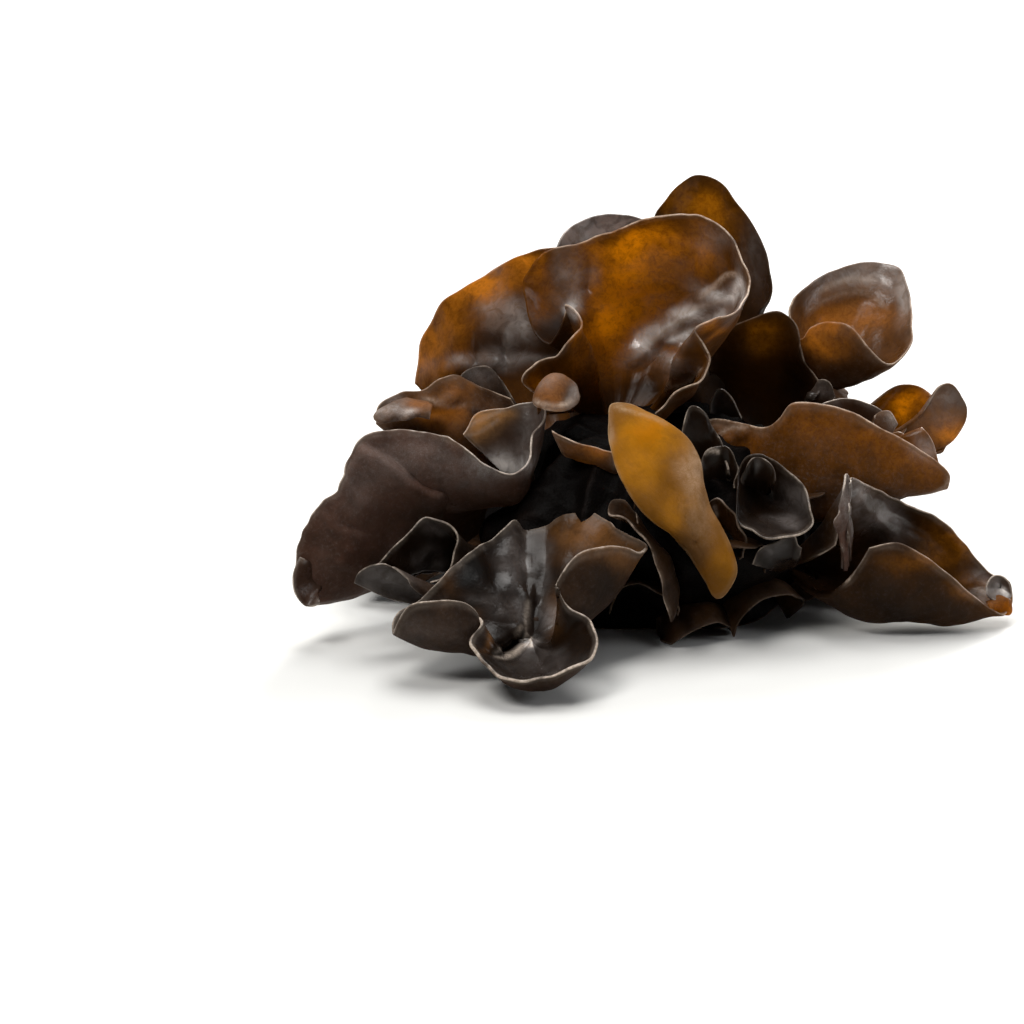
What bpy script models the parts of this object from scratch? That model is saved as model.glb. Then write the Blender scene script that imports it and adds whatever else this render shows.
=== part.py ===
"""A cluster of wood ear mushrooms, cut off flat at the base it grew from.

Every ear is one thin sheet. It leaves the base at a narrow foot and opens to a wavy rim. The ears that face
the front are laid out by hand, as points (across, up, back) in millimetres seen by someone who looks down on
the cluster by LOOK_DOWN. The ears on the far side follow a rule. The base stands on its cut face at z = 0.
"""

import math

import bmesh
import bpy
import numpy as np
from mathutils import Vector

MM = 0.001
LOOK_DOWN = math.radians(18)
EYE_DISTANCE = 1500
EYE_ACROSS = -35.5  # the line of sight meets the plane "back = 0" here
EYE_UP = 22
EAR_THICKNESS = 1.7
GAP = 0.3  # between two pieces that touch
FLOOR_GAP = 0.35
FLOOR_LIFT = EAR_THICKNESS / 2 + FLOOR_GAP  # lowest middle of a sheet that lies on the surface

# The base, in millimetres: half sizes of its mound, how far it sits back, and the lumps on it.
BASE_HALF = (52, 40, 50)
BASE_BACK = 2
BASE_UNDERCUT = 0.36  # how much narrower the cut face is, as a share
BASE_UNDERCUT_HEIGHT = 24
BASE_LUMPS = 5
BASE_LUMP_HEIGHT = 0.05
BASE_LUMP_TURN = 3  # how far the lumps turn on the way up, in radians
BASE_SEGMENTS = (32, 16)
CUTTER_DROP = 5  # the cutter shaped like the base reaches this far below the cut

COLOURS = {
    "dark": ((0.035, 0.022, 0.018), 0.38),
    "brown": ((0.090, 0.045, 0.026), 0.45),
    "amber": ((0.330, 0.140, 0.022), 0.40),
    "cut": ((0.120, 0.070, 0.040), 0.75),
}

# Each rib is (across, up, back) of its end on the rim, then its share of the ear's bulge, where it is not 1.
EARS = {
    "ear_front_bowl": {
        "tone": "dark", "closed": True, "foot": (-30.5, -10, -50), "bulge": (0, -8, -3), "waist": 0.62,
        "stalk": (-20, 4, -24), "columns": 42, "rows": 6,
        "ribs": [
            (-65.3, -8, -61, 0.7), (-64.3, -3, -57, 0.6), (-57.8, 0.8, -53, 0.3), (-50.3, 8.3, -48, 0.2),
            (-44.8, 12.8, -43, 0.2), (-39, 16.5, -38, 0.2), (-35.5, 19.8, -34, 0.2), (-32.5, 17.3, -32, 0.3),
            (-27.3, 18.3, -31, 0.3), (-23, 20.5, -31, 0.3), (-17, 22.5, -33, 0.3), (-12, 20.5, -36, 0.3),
            (-8, 16.8, -42, 0.4), (-1.5, 12, -49, 0.7), (-8, 13.3, -57), (-14.3, 13.3, -61, 1.1),
            (-19.3, 11.3, -63), (-23, 6.8, -63, 0.7), (-23.8, 2.5, -62, 0.5), (-20.8, -2, -63, 0.4),
            (-16.5, -4.5, -66, 0.4), (-14.3, -10, -72, 0.4), (-15.5, -15.5, -76, 0.5), (-21, -19.2, -79, 0.6),
            (-27, -21.2, -80, 0.6), (-34, -20.5, -80, 0.6), (-39.5, -18.4, -78, 0.5), (-43.5, -15, -75, 0.5),
            (-45.3, -10, -70, 0.6), (-43.5, -5, -65, 0.7), (-47, -1, -65, 0.9), (-53.8, 0, -68, 1.1),
            (-61.5, -1.8, -67, 1.1),
        ],
    },
    "ear_big_fold": {
        "tone": "brown", "foot": (-36, 26, -10), "foot_width": 0, "foot_share": 0.22, "bulge": (-2, -10, -4),
        "waist": 0.72, "columns": 26, "rows": 6,
        "ribs": [
            (-48, 41.5, -12, 0), (-43.5, 46.8, -11, 0), (-37.5, 48, -10, 0), (-31.5, 49.5, -11, 0),
            (-27.3, 49, -15, 0.2), (-28.3, 43.5, -23, 0.4), (-31.3, 36.3, -30, 0.4), (-35.3, 31.5, -33, 0.4),
            (-41, 33.3, -35, 0.45), (-49.5, 39.5, -36, 0.65), (-59.8, 42.3, -36, 0.9),
            (-67.3, 42.5, -36, 0.9), (-73.5, 40.5, -37, 0.8), (-77, 33.5, -38, 0.7), (-79, 27.5, -40, 0.6),
            (-85.5, 21.8, -41, 0.6), (-88.8, 13.8, -40, 0.6), (-89.8, 6.3, -38, 0.6), (-88.3, 0.5, -34, 0.5),
            (-84, -1, -28, 0.3),
        ],
    },
    "ear_upper_left": {
        "tone": "amber", "foot": (-23, 34, 14), "bulge": (0, -3, 12), "waist": 0.55, "columns": 14, "rows": 6,
        "ribs": [
            (-60.3, 54, -7), (-59.5, 61.3, -4), (-57, 67.5, -2), (-51.8, 74.8, 1),
            (-43.8, 80.5, 4), (-35.8, 85.5, 6), (-29.8, 87.5, 4), (-24.5, 87.8, 8),
            (-17.3, 87.5, 12), (-13.5, 77.5, 14),
        ],
    },
    "ear_crown": {
        "tone": "amber", "foot": (-9, 43.8, 4), "bulge": (5, 1, 8), "waist": 0.7, "columns": 40, "rows": 7,
        "ribs": [
            (-31, 52, -14, 0.1), (-33.3, 55.5, -17, 0.1), (-29.5, 58.5, -19, 0.1), (-23.5, 60.8, -20, 0.2),
            (-18.8, 65.5, -18, 0.3), (-17, 69.5, -15, 0.3), (-19.5, 73.3, -13, 0.2), (-22, 74, -10, 0.2),
            (-24, 69, -8, 0.1), (-28, 67.5, -6, 0.2), (-31, 73, -5, 0.4), (-31.5, 80, -5, 0.6),
            (-29, 86, -4, 0.6), (-24.5, 88.3, -3, 0.6), (-16.5, 89.8, -4, 0.7),
            (-7.3, 93.5, -6, 0.9), (2.8, 96.5, -8), (11.5, 96.8, -10), (18.5, 92, -13), (22.8, 84.5, -17),
            (23.5, 77.5, -23, 1.1), (20.5, 73.3, -29), (15, 70.8, -33, 0.3), (10, 68, -34, -0.4),
            (11.3, 64.3, -33, 0.2), (13.3, 59.5, -31, 0.8), (11.5, 54, -31, 0.7), (5.5, 51.3, -30, 0.5),
            (0, 46.8, -27, 0.3),
        ],
    },
    "ear_top_right": {
        "tone": "brown", "foot": (11.5, 38, 18), "bulge": (0, 0, 8), "waist": 0.6, "columns": 12, "rows": 5,
        "ribs": [
            (0.3, 91.3, 16), (2.3, 98, 17), (5.3, 103.3, 19), (10.3, 106.3, 20), (16, 104.8, 19),
            (21, 99.3, 17), (25.5, 92, 15), (28.8, 84.5, 13), (29.5, 78, 12), (26.5, 73, 12),
        ],
    },
    "ear_top_back": {
        "tone": "dark", "foot": (-10, 34, 24), "bulge": (0, -2, 8), "waist": 0.6, "columns": 10, "rows": 5,
        "ribs": [
            (-26.5, 84.5, 20), (-23.5, 90, 23), (-18.5, 94.3, 26), (-11.5, 96.5, 28),
            (-4.8, 96, 29), (0.3, 93.5, 28), (3.5, 88.8, 26),
        ],
    },
    "ear_dark_middle": {
        "tone": "dark", "foot": (21.5, 37.5, 4), "bulge": (0, -2, 8), "waist": 0.6, "columns": 12, "rows": 5,
        "ribs": [
            (13.5, 60, 5), (16.5, 66.5, 4), (22.5, 69.5, 1), (30, 72, -1), (33.5, 70.5, 0),
            (36.3, 66.5, 1), (37.8, 62.5, 1), (39, 58.5, 1), (41.5, 55, 0), (44.8, 53, -1), (45.8, 50, -3),
        ],
    },
    "ear_right_cup": {
        "tone": "amber", "closed": True, "foot": (43.5, 54.5, 12), "bulge": (-2, -4, 3), "waist": 0.6,
        "stalk": (30, 32, 22), "columns": 24, "rows": 5,
        "ribs": [
            (33, 72, 10), (36.5, 77, 16), (42.5, 81.3, 21), (49, 83.8, 24), (56.5, 84.5, 25),
            (62.3, 82, 23), (64, 75, 17), (64.5, 66.3, 9), (62.3, 61.5, 3), (58.5, 59.3, 0),
            (54.5, 63.3, 0), (50.3, 68, 0), (45.3, 69.8, 1), (39.5, 68.3, 4), (36.5, 65.5, 7),
        ],
    },
    "ear_right_back": {
        "tone": "amber", "foot": (38, 28, 8), "bulge": (0, -3, 6), "waist": 0.6, "columns": 8, "rows": 5,
        "ribs": [
            (53.5, 46.3, 4), (54.8, 49.5, 6), (58.5, 52.3, 8), (63.5, 53.5, 9), (68.5, 51.8, 8),
            (71, 47.5, 5),
        ],
    },
    "ear_right_lobe": {
        "tone": "amber", "foot": (40, 19, 2), "foot_width": 10, "bulge": (0, 0, 1), "waist": 0.6,
        "columns": 11, "rows": 5,
        "ribs": [
            (61.5, 40.5, -4), (64.5, 46, -4), (69, 50.5, -4), (74, 54.3, -4), (77.3, 50.5, -3),
            (78.3, 47, -2), (76.5, 42, -1), (73, 38.5, 0), (69, 36, 1),
        ],
    },
    "ear_long_amber": {
        "tone": "amber", "foot": (22, 32.5, -14), "bulge": (3, -14, -1), "waist": 0.7, "columns": 22,
        "rows": 6,
        "ribs": [
            (12.3, 45.3, -20, 0.2), (17, 45.3, -22, 0.4), (22.8, 44, -24, 0.7), (27.8, 43.2, -26, 0.9),
            (31.5, 45.5, -28), (34.5, 49.3, -29), (41.5, 49.2, -29, 1.1), (49, 47.3, -29, 1.1),
            (56.5, 43.3, -28), (64, 39.3, -26, 0.9), (70.3, 35, -23, 0.7), (73.6, 31.8, -21, 0.5),
            (73.2, 28.5, -18.5, 0.4), (72, 31.5, -16, 0.3), (70.3, 37.5, -15, 0.1), (68, 42.3, -15, 0),
            (65, 41, -14, 0), (61, 42, -13, 0),
        ],
    },
    "ear_amber_tongue": {
        "tone": "amber", "closed": True, "foot": (10.5, 14, -49), "bulge": (0, 0, -2), "waist": 0.5,
        "stalk": (13, 9, -30), "columns": 26, "rows": 5,
        "ribs": [
            (15.5, 0.5, -44), (12.5, 5, -46), (8.5, 11, -49), (2.5, 17.5, -51), (-3.5, 23, -52),
            (-8, 29.5, -51), (-10.5, 36.3, -49), (-11.5, 43, -46), (-11, 48.8, -43), (-6, 49, -42),
            (1.5, 45.5, -43), (7.8, 41, -44), (11.3, 35.5, -44), (12.5, 28.5, -45), (14.8, 22, -46),
            (18.8, 15, -46), (20.8, 8.5, -45), (19.5, 3, -44),
        ],
    },
    "ear_dark_cup": {
        "tone": "dark", "foot": (25, 23.5, -24), "bulge": (3, -3, 3), "waist": 0.6, "columns": 18, "rows": 5,
        "ribs": [
            (21.5, 33, -38), (23.5, 36.3, -38), (27, 37, -38), (30.5, 35.5, -39), (33.5, 33, -40),
            (36, 30.5, -41), (38, 27, -42), (39.5, 23, -43), (40, 19.5, -44), (37.5, 17.3, -46),
            (33.5, 16.3, -47), (29, 16.5, -48), (25, 18, -47), (21.5, 20, -45),
        ],
    },
    "ear_lower_right": {
        "tone": "dark", "foot": (36, 8, -17), "foot_width": 0, "foot_share": 0.22, "bulge": (0, -10, -2),
        "waist": 0.65, "columns": 26, "rows": 6,
        "ribs": [
            (46, 13.8, -40, 0.1), (47, 23.8, -42, 0.2), (48.5, 30.3, -42, 0.3), (52.5, 29.3, -36, 0.3),
            (57, 27.3, -30, 0.2), (64.5, 23.3, -24, 0), (72, 19.8, -20, 0.2), (78.3, 13.3, -17, 0.3),
            (83.5, 7.3, -15, 0.3), (88.5, 4.3, -14, 0.3), (89.5, -1.5, -18, 0.3), (86, -3.3, -24, 0.5),
            (80.3, 0.8, -29, 0.8), (74, 6.3, -33), (67.8, 11, -36), (61.5, 13.8, -38), (54, 13, -38, 0.8),
        ],
    },
    "ear_left_cup": {
        "tone": "dark", "foot": (-38, 11, -19), "bulge": (2, -5, 2), "waist": 0.65, "columns": 14, "rows": 5,
        "ribs": [
            (-71, 8, -44, 0.6), (-67.5, 11.3, -43, 0.5), (-63.5, 15, -41, 0.4), (-57.3, 20.8, -37, 0.3),
            (-51.8, 18, -37, 0.3), (-49.8, 15, -38, 0.3), (-50.3, 10.5, -39, 0.3), (-53, 6.5, -39, 0.2),
            (-56, 4.3, -40, 0.1),
        ],
    },
    "ear_left_lip": {
        "tone": "dark", "foot": (-31, 5, -19), "foot_width": 9, "bulge": (0, -5, -3), "waist": 0.7,
        "columns": 10, "rows": 6,
        "ribs": [
            (-75, 4.5, -46), (-74.3, 6.8, -47), (-72, 8.5, -48), (-69.5, 9.6, -49),
            (-66, 9.4, -49), (-63.5, 7, -49), (-60.5, 4, -48), (-57, 1.5, -46),
        ],
    },
    "ear_left_small": {
        "tone": "amber", "foot": (-26, 35, 4), "bulge": (-2, -8, -4), "waist": 0.65, "columns": 14, "rows": 5,
        "ribs": [
            (-69.3, 44, -16, 0.6), (-69, 48.5, -15, 0.6), (-63.5, 51.8, -13, 0.6), (-58.5, 52.5, -12, 0.6),
            (-53.5, 55.5, -10, 0.6), (-48.5, 56.3, -7, 0.4), (-44.8, 53.8, -4, 0.3), (-39.8, 52, -3, 0.2),
            (-36, 50.5, -2, 0.2),
        ],
    },
    "ear_edge_middle": {
        "tone": "dark", "foot": (0, 8, -33), "bulge": (3, 0, -2), "waist": 0.6, "columns": 12, "rows": 4,
        "ribs": [
            (-7.3, 25, -40, 0.2), (-10.5, 25, -42, 0.5), (-11.5, 21.8, -44, 0.8), (-8.5, 21, -46),
            (-4.8, 18.8, -48), (-1.5, 15, -50), (1, 10, -51), (2, 5, -51), (2.8, 0, -50),
            (3.3, -5.5, -47, 0.5),
        ],
    },
    "ear_small_upright": {
        "tone": "dark", "foot": (14, 30, -26), "bulge": (0, 0, -2), "waist": 0.6, "columns": 9, "rows": 4,
        "ribs": [
            (6.5, 33.8, -36), (7, 42.5, -35), (9, 48.5, -34), (12.5, 47, -33), (14.5, 43.5, -32),
            (17.5, 38.5, -33), (18.5, 32.5, -35),
        ],
    },
    "bud_middle": {
        "tone": "dark", "foot": (18, 34, 0), "foot_width": 7, "bulge": (0, 0, -1), "waist": 0.6, "columns": 6,
        "rows": 3,
        "ribs": [
            (14.5, 47, -12), (15, 51.5, -12), (17, 52.8, -12), (20, 50, -12), (21.8, 45.5, -12),
        ],
    },
    "bud_amber": {
        "tone": "amber", "foot": (-20, 38, -16), "foot_width": 7, "bulge": (0, 0, -4), "waist": 0.7,
        "columns": 8, "rows": 4,
        "ribs": [
            (-30.3, 50, -27), (-29.5, 53.8, -29), (-26.5, 56.5, -30), (-22.3, 56.8, -29),
            (-19, 54.5, -27), (-19.3, 50, -25),
        ],
    },
    "ear_shelf": {
        "tone": "amber", "foot": (-14, 35.5, -20), "bulge": (0, -4, -3), "waist": 0.6, "columns": 8,
        "rows": 4,
        "ribs": [
            (-25.3, 42.5, -30), (-19.8, 39.5, -33), (-14, 37.8, -35), (-9.8, 37, -34),
        ],
    },
}
FOOT_WIDTH = 12  # of an ear that names no other
POINTS_PER_SPAN = 12  # on a rim, between two ribs
EVEN_SHARE = 0.07  # share of a rim's length over which its waves are evened out toward the foot
WAVE_FADE = 1.5  # the higher, the nearer to the rim the waves stay
KEPT_INSIDE = 0.08  # how deep the sheets are built inside the base before they are cut, in shares of its size
START_STEPS = np.linspace(0, 0.8, 81)  # places on a rib where the sheet may start
START_PASSES = 6
WELD = 0.02

# The short neck of a cup.
STALK_SEGMENTS = 10
STALK_RADII = (7, 4.5)

# The ears of the far side: bearing and rise of the way it grows, height of its foot, its reach, half the
# angle of its fan, how far it cups, how many waves its rim has, and its tone.
FAR_EARS = {
    "ear_far_1": {
        "bearing": 8, "rise": 0, "foot": 7, "reach": 40, "fan": 40,
        "cup": 5, "waves": 3, "tone": "dark",
    },
    "ear_far_2": {
        "bearing": 54, "rise": 8, "foot": 13, "reach": 48, "fan": 42,
        "cup": 8, "waves": 3, "tone": "brown",
    },
    "ear_far_3": {
        "bearing": 90, "rise": 14, "foot": 23, "reach": 50, "fan": 46,
        "cup": 4, "waves": 4, "tone": "amber",
    },
    "ear_far_4": {
        "bearing": 128, "rise": 8, "foot": 12, "reach": 50, "fan": 42,
        "cup": 8, "waves": 3, "tone": "brown",
    },
    "ear_far_5": {
        "bearing": 172, "rise": 4, "foot": 9, "reach": 42, "fan": 38,
        "cup": 6, "waves": 3, "tone": "dark",
    },
    "ear_far_6": {
        "bearing": 152, "rise": 9, "foot": 22, "reach": 36, "fan": 42,
        "cup": 3, "waves": 3, "tone": "amber",
    },
}
FAR_GRID = {"columns": 14, "rows": 5, "waist": 0.55}
FAR_RIBS = 11
FAR_WAVE = 3.2  # height of the rim's waves on the far side
FAR_REACH_WAVE = 0.05  # the same waves in the reach, as a share
FAR_SIDES_SHORTER = 0.28
FAR_BULGE = 0.6  # as a share of the cup
FAR_FOOT_INSIDE = 0.86  # how far out the foot sits, as a share of the base


def upright(point):
    """A point (across, up, back), as it appears to the eye, in the cluster's own upright axes."""
    back = point[2]
    nearer = 1 + back / EYE_DISTANCE
    across = EYE_ACROSS + (point[0] - EYE_ACROSS) * nearer
    up = EYE_UP + (point[1] - EYE_UP) * nearer
    return turned((across, up, back))


def turned(vector):
    """A direction (across, up, back) in upright axes."""
    across, up, back = vector
    sine, cosine = math.sin(LOOK_DOWN), math.cos(LOOK_DOWN)
    return np.array([across, up * sine + back * cosine, up * cosine - back * sine])


def smooth_rows(points, closed):
    """A smooth line through the points: a Catmull-Rom spline, in as many numbers as a point has."""
    points = np.asarray(points, float)
    count = len(points)
    spans = count if closed else count - 1

    def point_at(index):
        return points[index % count] if closed else points[min(max(index, 0), count - 1)]

    line = []
    for span in range(spans):
        before, start, end, after = (point_at(span + k) for k in (-1, 0, 1, 2))
        for step in range(POINTS_PER_SPAN):
            t = step / POINTS_PER_SPAN
            line.append(
                0.5 * (2 * start + (end - before) * t + (2 * before - 5 * start + 4 * end - after) * t**2
                       + (3 * start - before - 3 * end + after) * t**3)
            )
    line.append(point_at(spans))
    return np.array(line)


def even_columns(line, columns):
    """The line's rows at even steps of length along its first three numbers."""
    steps = np.linalg.norm(np.diff(line[:, :3], axis=0), axis=1)
    along = np.concatenate([[0], np.cumsum(steps)])
    wanted = np.linspace(0, along[-1], columns + 1)
    return np.array([np.interp(wanted, along, line[:, k]) for k in range(line.shape[1])]).T


def evened(line, closed):
    """The line with its waves evened out over a share EVEN_SHARE of its length."""
    count = len(line) - 1
    soft = line.copy()
    for _ in range(round(2 * (EVEN_SHARE * count) ** 2)):
        if closed:
            ring = (np.roll(soft[:-1], 1, axis=0) + 2 * soft[:-1] + np.roll(soft[:-1], -1, axis=0)) / 4
            soft = np.vstack([ring, ring[:1]])
        else:
            soft[1:-1] = (soft[:-2] + 2 * soft[1:-1] + soft[2:]) / 4
    return soft


def undercut(height):
    """How wide the base is at a height, beside a plain half ball."""
    rise = np.clip(np.asarray(height) / BASE_UNDERCUT_HEIGHT, 0, 1)
    return 1 - BASE_UNDERCUT * (1 - rise * rise * (3 - 2 * rise))


def depth_in_base(points):
    """Below 0 inside the base, in shares of its size."""
    width = undercut(points[..., 2])
    x = points[..., 0] / BASE_HALF[0] / width
    y = (points[..., 1] - BASE_BACK) / BASE_HALF[1] / width
    z = points[..., 2] / BASE_HALF[2]
    return np.sqrt(x * x + y * y + z * z) - 1


def rib_points(root, rim, belly_push, waist, v):
    """Points at v on the ribs from root to rim. Each is a parabola through its own belly point."""
    belly = root + waist * (rim - root) + belly_push
    handle = (belly - (1 - waist) ** 2 * root - waist**2 * rim) / (2 * waist * (1 - waist))
    return (1 - v) ** 2 * root + 2 * v * (1 - v) * handle + v**2 * rim


def sheet_points(ear, columns, rows):
    """The middle of an ear's sheet, as (rows + 1) x (columns + 1) points in millimetres.

    The waves of the rim die away toward the foot. The part of the ribs deep inside the base is left out.
    """
    closed = ear.get("closed", False)
    line = even_columns(smooth_rows(ear["line"], closed), columns)
    soft = evened(line, closed)
    foot = np.array(ear["foot_point"], float)
    across_foot = soft[-1, :3] - soft[0, :3]
    if not closed:
        across_foot *= ear.get("foot_width", FOOT_WIDTH) / np.linalg.norm(across_foot)
    root = foot + np.linspace(-0.5, 0.5, columns + 1)[:, None] * across_foot
    root = root + ear.get("foot_share", 0) * (soft[:, :3] - soft[:, :3].mean(axis=0))

    def ribs_at(v):
        row = soft + (line - soft) * v**WAVE_FADE
        return rib_points(root, row[:, :3], row[:, 3:6], ear["waist"], v)

    start = np.zeros((columns + 1, 1))
    if not closed:
        for v in START_STEPS:
            inside = depth_in_base(ribs_at(v)) < -KEPT_INSIDE
            start[inside] = v
        for _ in range(START_PASSES):
            start[1:-1] = (start[:-2] + 2 * start[1:-1] + start[2:]) / 4
    steps = np.linspace(0, 1, rows + 1)
    points = np.array([ribs_at(start + (1 - start) * step) for step in steps])
    points[..., 2] = np.maximum(points[..., 2], FLOOR_LIFT)
    return points


def front_ear(ear):
    """The ear with its foot and rim line in upright axes."""
    push = turned(ear["bulge"])
    line = [[*upright(rib), *((rib[3] if len(rib) > 3 else 1) * push)] for rib in ear["ribs"]]
    return {**ear, "foot_point": upright(ear["foot"]), "line": line}


def far_ear(spec):
    """An ear of the far side: a fan whose rim is an arc with waves."""
    bearing, rise, fan = (math.radians(spec[key]) for key in ("bearing", "rise", "fan"))
    out = np.array([math.cos(bearing) * math.cos(rise), math.sin(bearing) * math.cos(rise), math.sin(rise)])
    side = np.array([-math.sin(bearing), math.cos(bearing), 0])
    face = np.cross(out, side)
    round_base = math.hypot(math.cos(bearing) / BASE_HALF[0], math.sin(bearing) / BASE_HALF[1])
    height_share = math.sqrt(1 - (spec["foot"] / BASE_HALF[2]) ** 2)
    inside = FAR_FOOT_INSIDE * height_share * float(undercut(spec["foot"])) / round_base
    foot = np.array([math.cos(bearing) * inside, BASE_BACK + math.sin(bearing) * inside, spec["foot"]])
    line = []
    for turn in np.linspace(-1, 1, FAR_RIBS):
        angle = turn * fan
        wave = math.sin(turn * math.pi * spec["waves"] + spec["bearing"])
        reach = spec["reach"] * (1 - FAR_SIDES_SHORTER * abs(turn) ** 3 + FAR_REACH_WAVE * wave)
        lift = FAR_WAVE * wave + spec["cup"] * turn**2
        rim = foot + reach * (math.cos(angle) * out + math.sin(angle) * side) - lift * face
        line.append([*rim, *(FAR_BULGE * spec["cup"] * face)])
    return {**spec, **FAR_GRID, "foot_point": foot, "line": line}


def material(name):
    colour, roughness = COLOURS[name]
    made = bpy.data.materials.new(name)
    made.use_nodes = True
    shader = made.node_tree.nodes["Principled BSDF"]
    shader.inputs["Base Color"].default_value = (*colour, 1)
    shader.inputs["Roughness"].default_value = roughness
    shader.inputs["Metallic"].default_value = 0
    return made


def new_object(name, mesh_builder, collection, made_of=None):
    """An object whose mesh is what mesh_builder leaves in a bmesh."""
    mesh = bpy.data.meshes.new(name)
    shape = bmesh.new()
    mesh_builder(shape)
    shape.to_mesh(mesh)
    shape.free()
    obj = bpy.data.objects.new(name, mesh)
    collection.objects.link(obj)
    if made_of:
        mesh.materials.append(made_of)
    return obj


def mound(shape, grow=0):
    """The base: a lumpy half ball, flat underneath where it was cut."""
    around_count, up_count = BASE_SEGMENTS
    bmesh.ops.create_uvsphere(shape, u_segments=around_count, v_segments=up_count, radius=1)
    for vertex in shape.verts:
        x, y, z = vertex.co
        around = math.atan2(y, x)
        swell = 1 + BASE_LUMP_HEIGHT * math.sin(BASE_LUMPS * around + BASE_LUMP_TURN * z) * (1 - z * z)
        swell *= float(undercut(z * BASE_HALF[2]))
        stretched = Vector((x * BASE_HALF[0] * swell, y * BASE_HALF[1] * swell, z * BASE_HALF[2]))
        grown = stretched + grow * Vector((x, y, z)).normalized()
        height = max(grown.z, -grow)
        vertex.co = Vector((grown.x, grown.y + BASE_BACK, height)) * MM
    if grow:
        underneath = [v for v in shape.verts if v.co.z < 0]
        bmesh.ops.translate(shape, verts=underneath, vec=(0, 0, -CUTTER_DROP * MM))


def sheet(ear, shape):
    """An ear's middle sheet: a flat grid moved to its place. A cup's two ends meet and are welded."""
    columns, rows = ear["columns"], ear["rows"]
    points = sheet_points(ear, columns, rows)
    bmesh.ops.create_grid(shape, x_segments=columns, y_segments=rows, size=1)
    for vertex in shape.verts:
        column = round((vertex.co.x + 1) / 2 * columns)
        row = round((vertex.co.y + 1) / 2 * rows)
        vertex.co = Vector(points[row, column]) * MM
    if ear.get("closed"):
        bmesh.ops.remove_doubles(shape, verts=shape.verts, dist=WELD * MM)


def stalk(ear, shape):
    """The short neck that carries a cup, from inside the base to just through the middle of its sheet."""
    start, end = Vector(upright(ear["stalk"])), Vector(ear["foot_point"])
    run = end - start
    low, high = STALK_RADII
    bmesh.ops.create_cone(
        shape, cap_ends=True, segments=STALK_SEGMENTS, radius1=low, radius2=high, depth=run.length
    )
    turn = run.to_track_quat("Z", "Y").to_matrix()
    for vertex in shape.verts:
        vertex.co = (turn @ vertex.co + (start + end) / 2) * MM


def add_boolean(obj, other, operation):
    boolean = obj.modifiers.new(operation.lower(), "BOOLEAN")
    boolean.operation = operation
    boolean.solver = "EXACT"
    boolean.object = other


def hide_helper(obj):
    obj.hide_render = True
    obj.display_type = "WIRE"


def build_ear(name, ear, cluster, helpers, base_cutter, materials):
    obj = new_object(name, lambda shape: sheet(ear, shape), cluster, materials[ear["tone"]])
    solidify = obj.modifiers.new("thickness", "SOLIDIFY")
    solidify.thickness = EAR_THICKNESS * MM
    solidify.offset = 0
    if "stalk" in ear:
        neck = new_object(name + "_neck", lambda shape: stalk(ear, shape), helpers)
        hide_helper(neck)
        add_boolean(obj, neck, "UNION")
    add_boolean(obj, base_cutter, "DIFFERENCE")
    obj.data.shade_smooth()
    return obj


def main():
    for obj in list(bpy.data.objects):
        bpy.data.objects.remove(obj)
    cluster = bpy.data.collections.new("wood_ear_cluster")
    helpers = bpy.data.collections.new("cutters")
    for collection in (cluster, helpers):
        bpy.context.scene.collection.children.link(collection)
    materials = {name: material(name) for name in COLOURS}
    new_object("base", mound, cluster, materials["cut"])
    base_cutter = new_object("base_clearance", lambda shape: mound(shape, GAP), helpers)
    hide_helper(base_cutter)
    ears = {name: front_ear(ear) for name, ear in EARS.items()}
    ears.update({name: far_ear(spec) for name, spec in FAR_EARS.items()})
    for name, ear in ears.items():
        build_ear(name, ear, cluster, helpers, base_cutter, materials)


main()
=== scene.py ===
import math

import bpy
import numpy as np
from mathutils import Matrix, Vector


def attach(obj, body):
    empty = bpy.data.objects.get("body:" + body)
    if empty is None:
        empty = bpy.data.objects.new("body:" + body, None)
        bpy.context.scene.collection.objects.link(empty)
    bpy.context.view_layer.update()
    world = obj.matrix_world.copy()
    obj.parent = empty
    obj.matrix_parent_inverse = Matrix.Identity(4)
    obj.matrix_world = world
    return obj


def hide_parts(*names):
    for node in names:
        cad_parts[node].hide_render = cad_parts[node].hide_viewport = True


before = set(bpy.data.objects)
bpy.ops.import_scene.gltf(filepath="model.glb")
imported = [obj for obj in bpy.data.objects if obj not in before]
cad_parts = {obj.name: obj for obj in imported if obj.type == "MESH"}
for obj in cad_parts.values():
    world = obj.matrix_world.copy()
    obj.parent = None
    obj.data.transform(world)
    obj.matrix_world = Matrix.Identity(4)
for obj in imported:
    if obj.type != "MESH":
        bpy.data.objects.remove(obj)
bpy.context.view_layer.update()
print("frame loaded:", len(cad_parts), "solids")

mm = 0.001
farAway = 1e3  # further than any two points lie apart
body = "root"

# Points are (across, up, back) in millimetres, as they look to an eye that looks down on the cluster.
eye = {"lookDown": math.radians(18), "distance": 1500, "across": -35.5, "up": 22, "frameWidth": 256}
sine, cosine = math.sin(eye["lookDown"]), math.cos(eye["lookDown"])

# The lumpy base that carries the ears. Its sizes follow the frame's solid.
baseShape = {"half": (52, 40, 50), "back": 2, "undercut": 0.36, "undercutHeight": 24}


def turned(vector):  # a direction (across, up, back) in upright axes
    across, up, back = vector
    return np.array([across, up * sine + back * cosine, up * cosine - back * sine])


def upright(point):  # a point as it looks to the eye, in upright axes
    nearer = 1 + point[2] / eye["distance"]
    across = eye["across"] + (point[0] - eye["across"]) * nearer
    up = eye["up"] + (point[1] - eye["up"]) * nearer
    return turned((across, up, point[2]))


def seen(points):  # where upright points look to be, as (across, up)
    up = points[..., 1] * sine + points[..., 2] * cosine
    nearer = 1 + (points[..., 1] * cosine - points[..., 2] * sine) / eye["distance"]
    across = eye["across"] + (points[..., 0] - eye["across"]) / nearer
    return across, eye["up"] + (up - eye["up"]) / nearer


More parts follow.
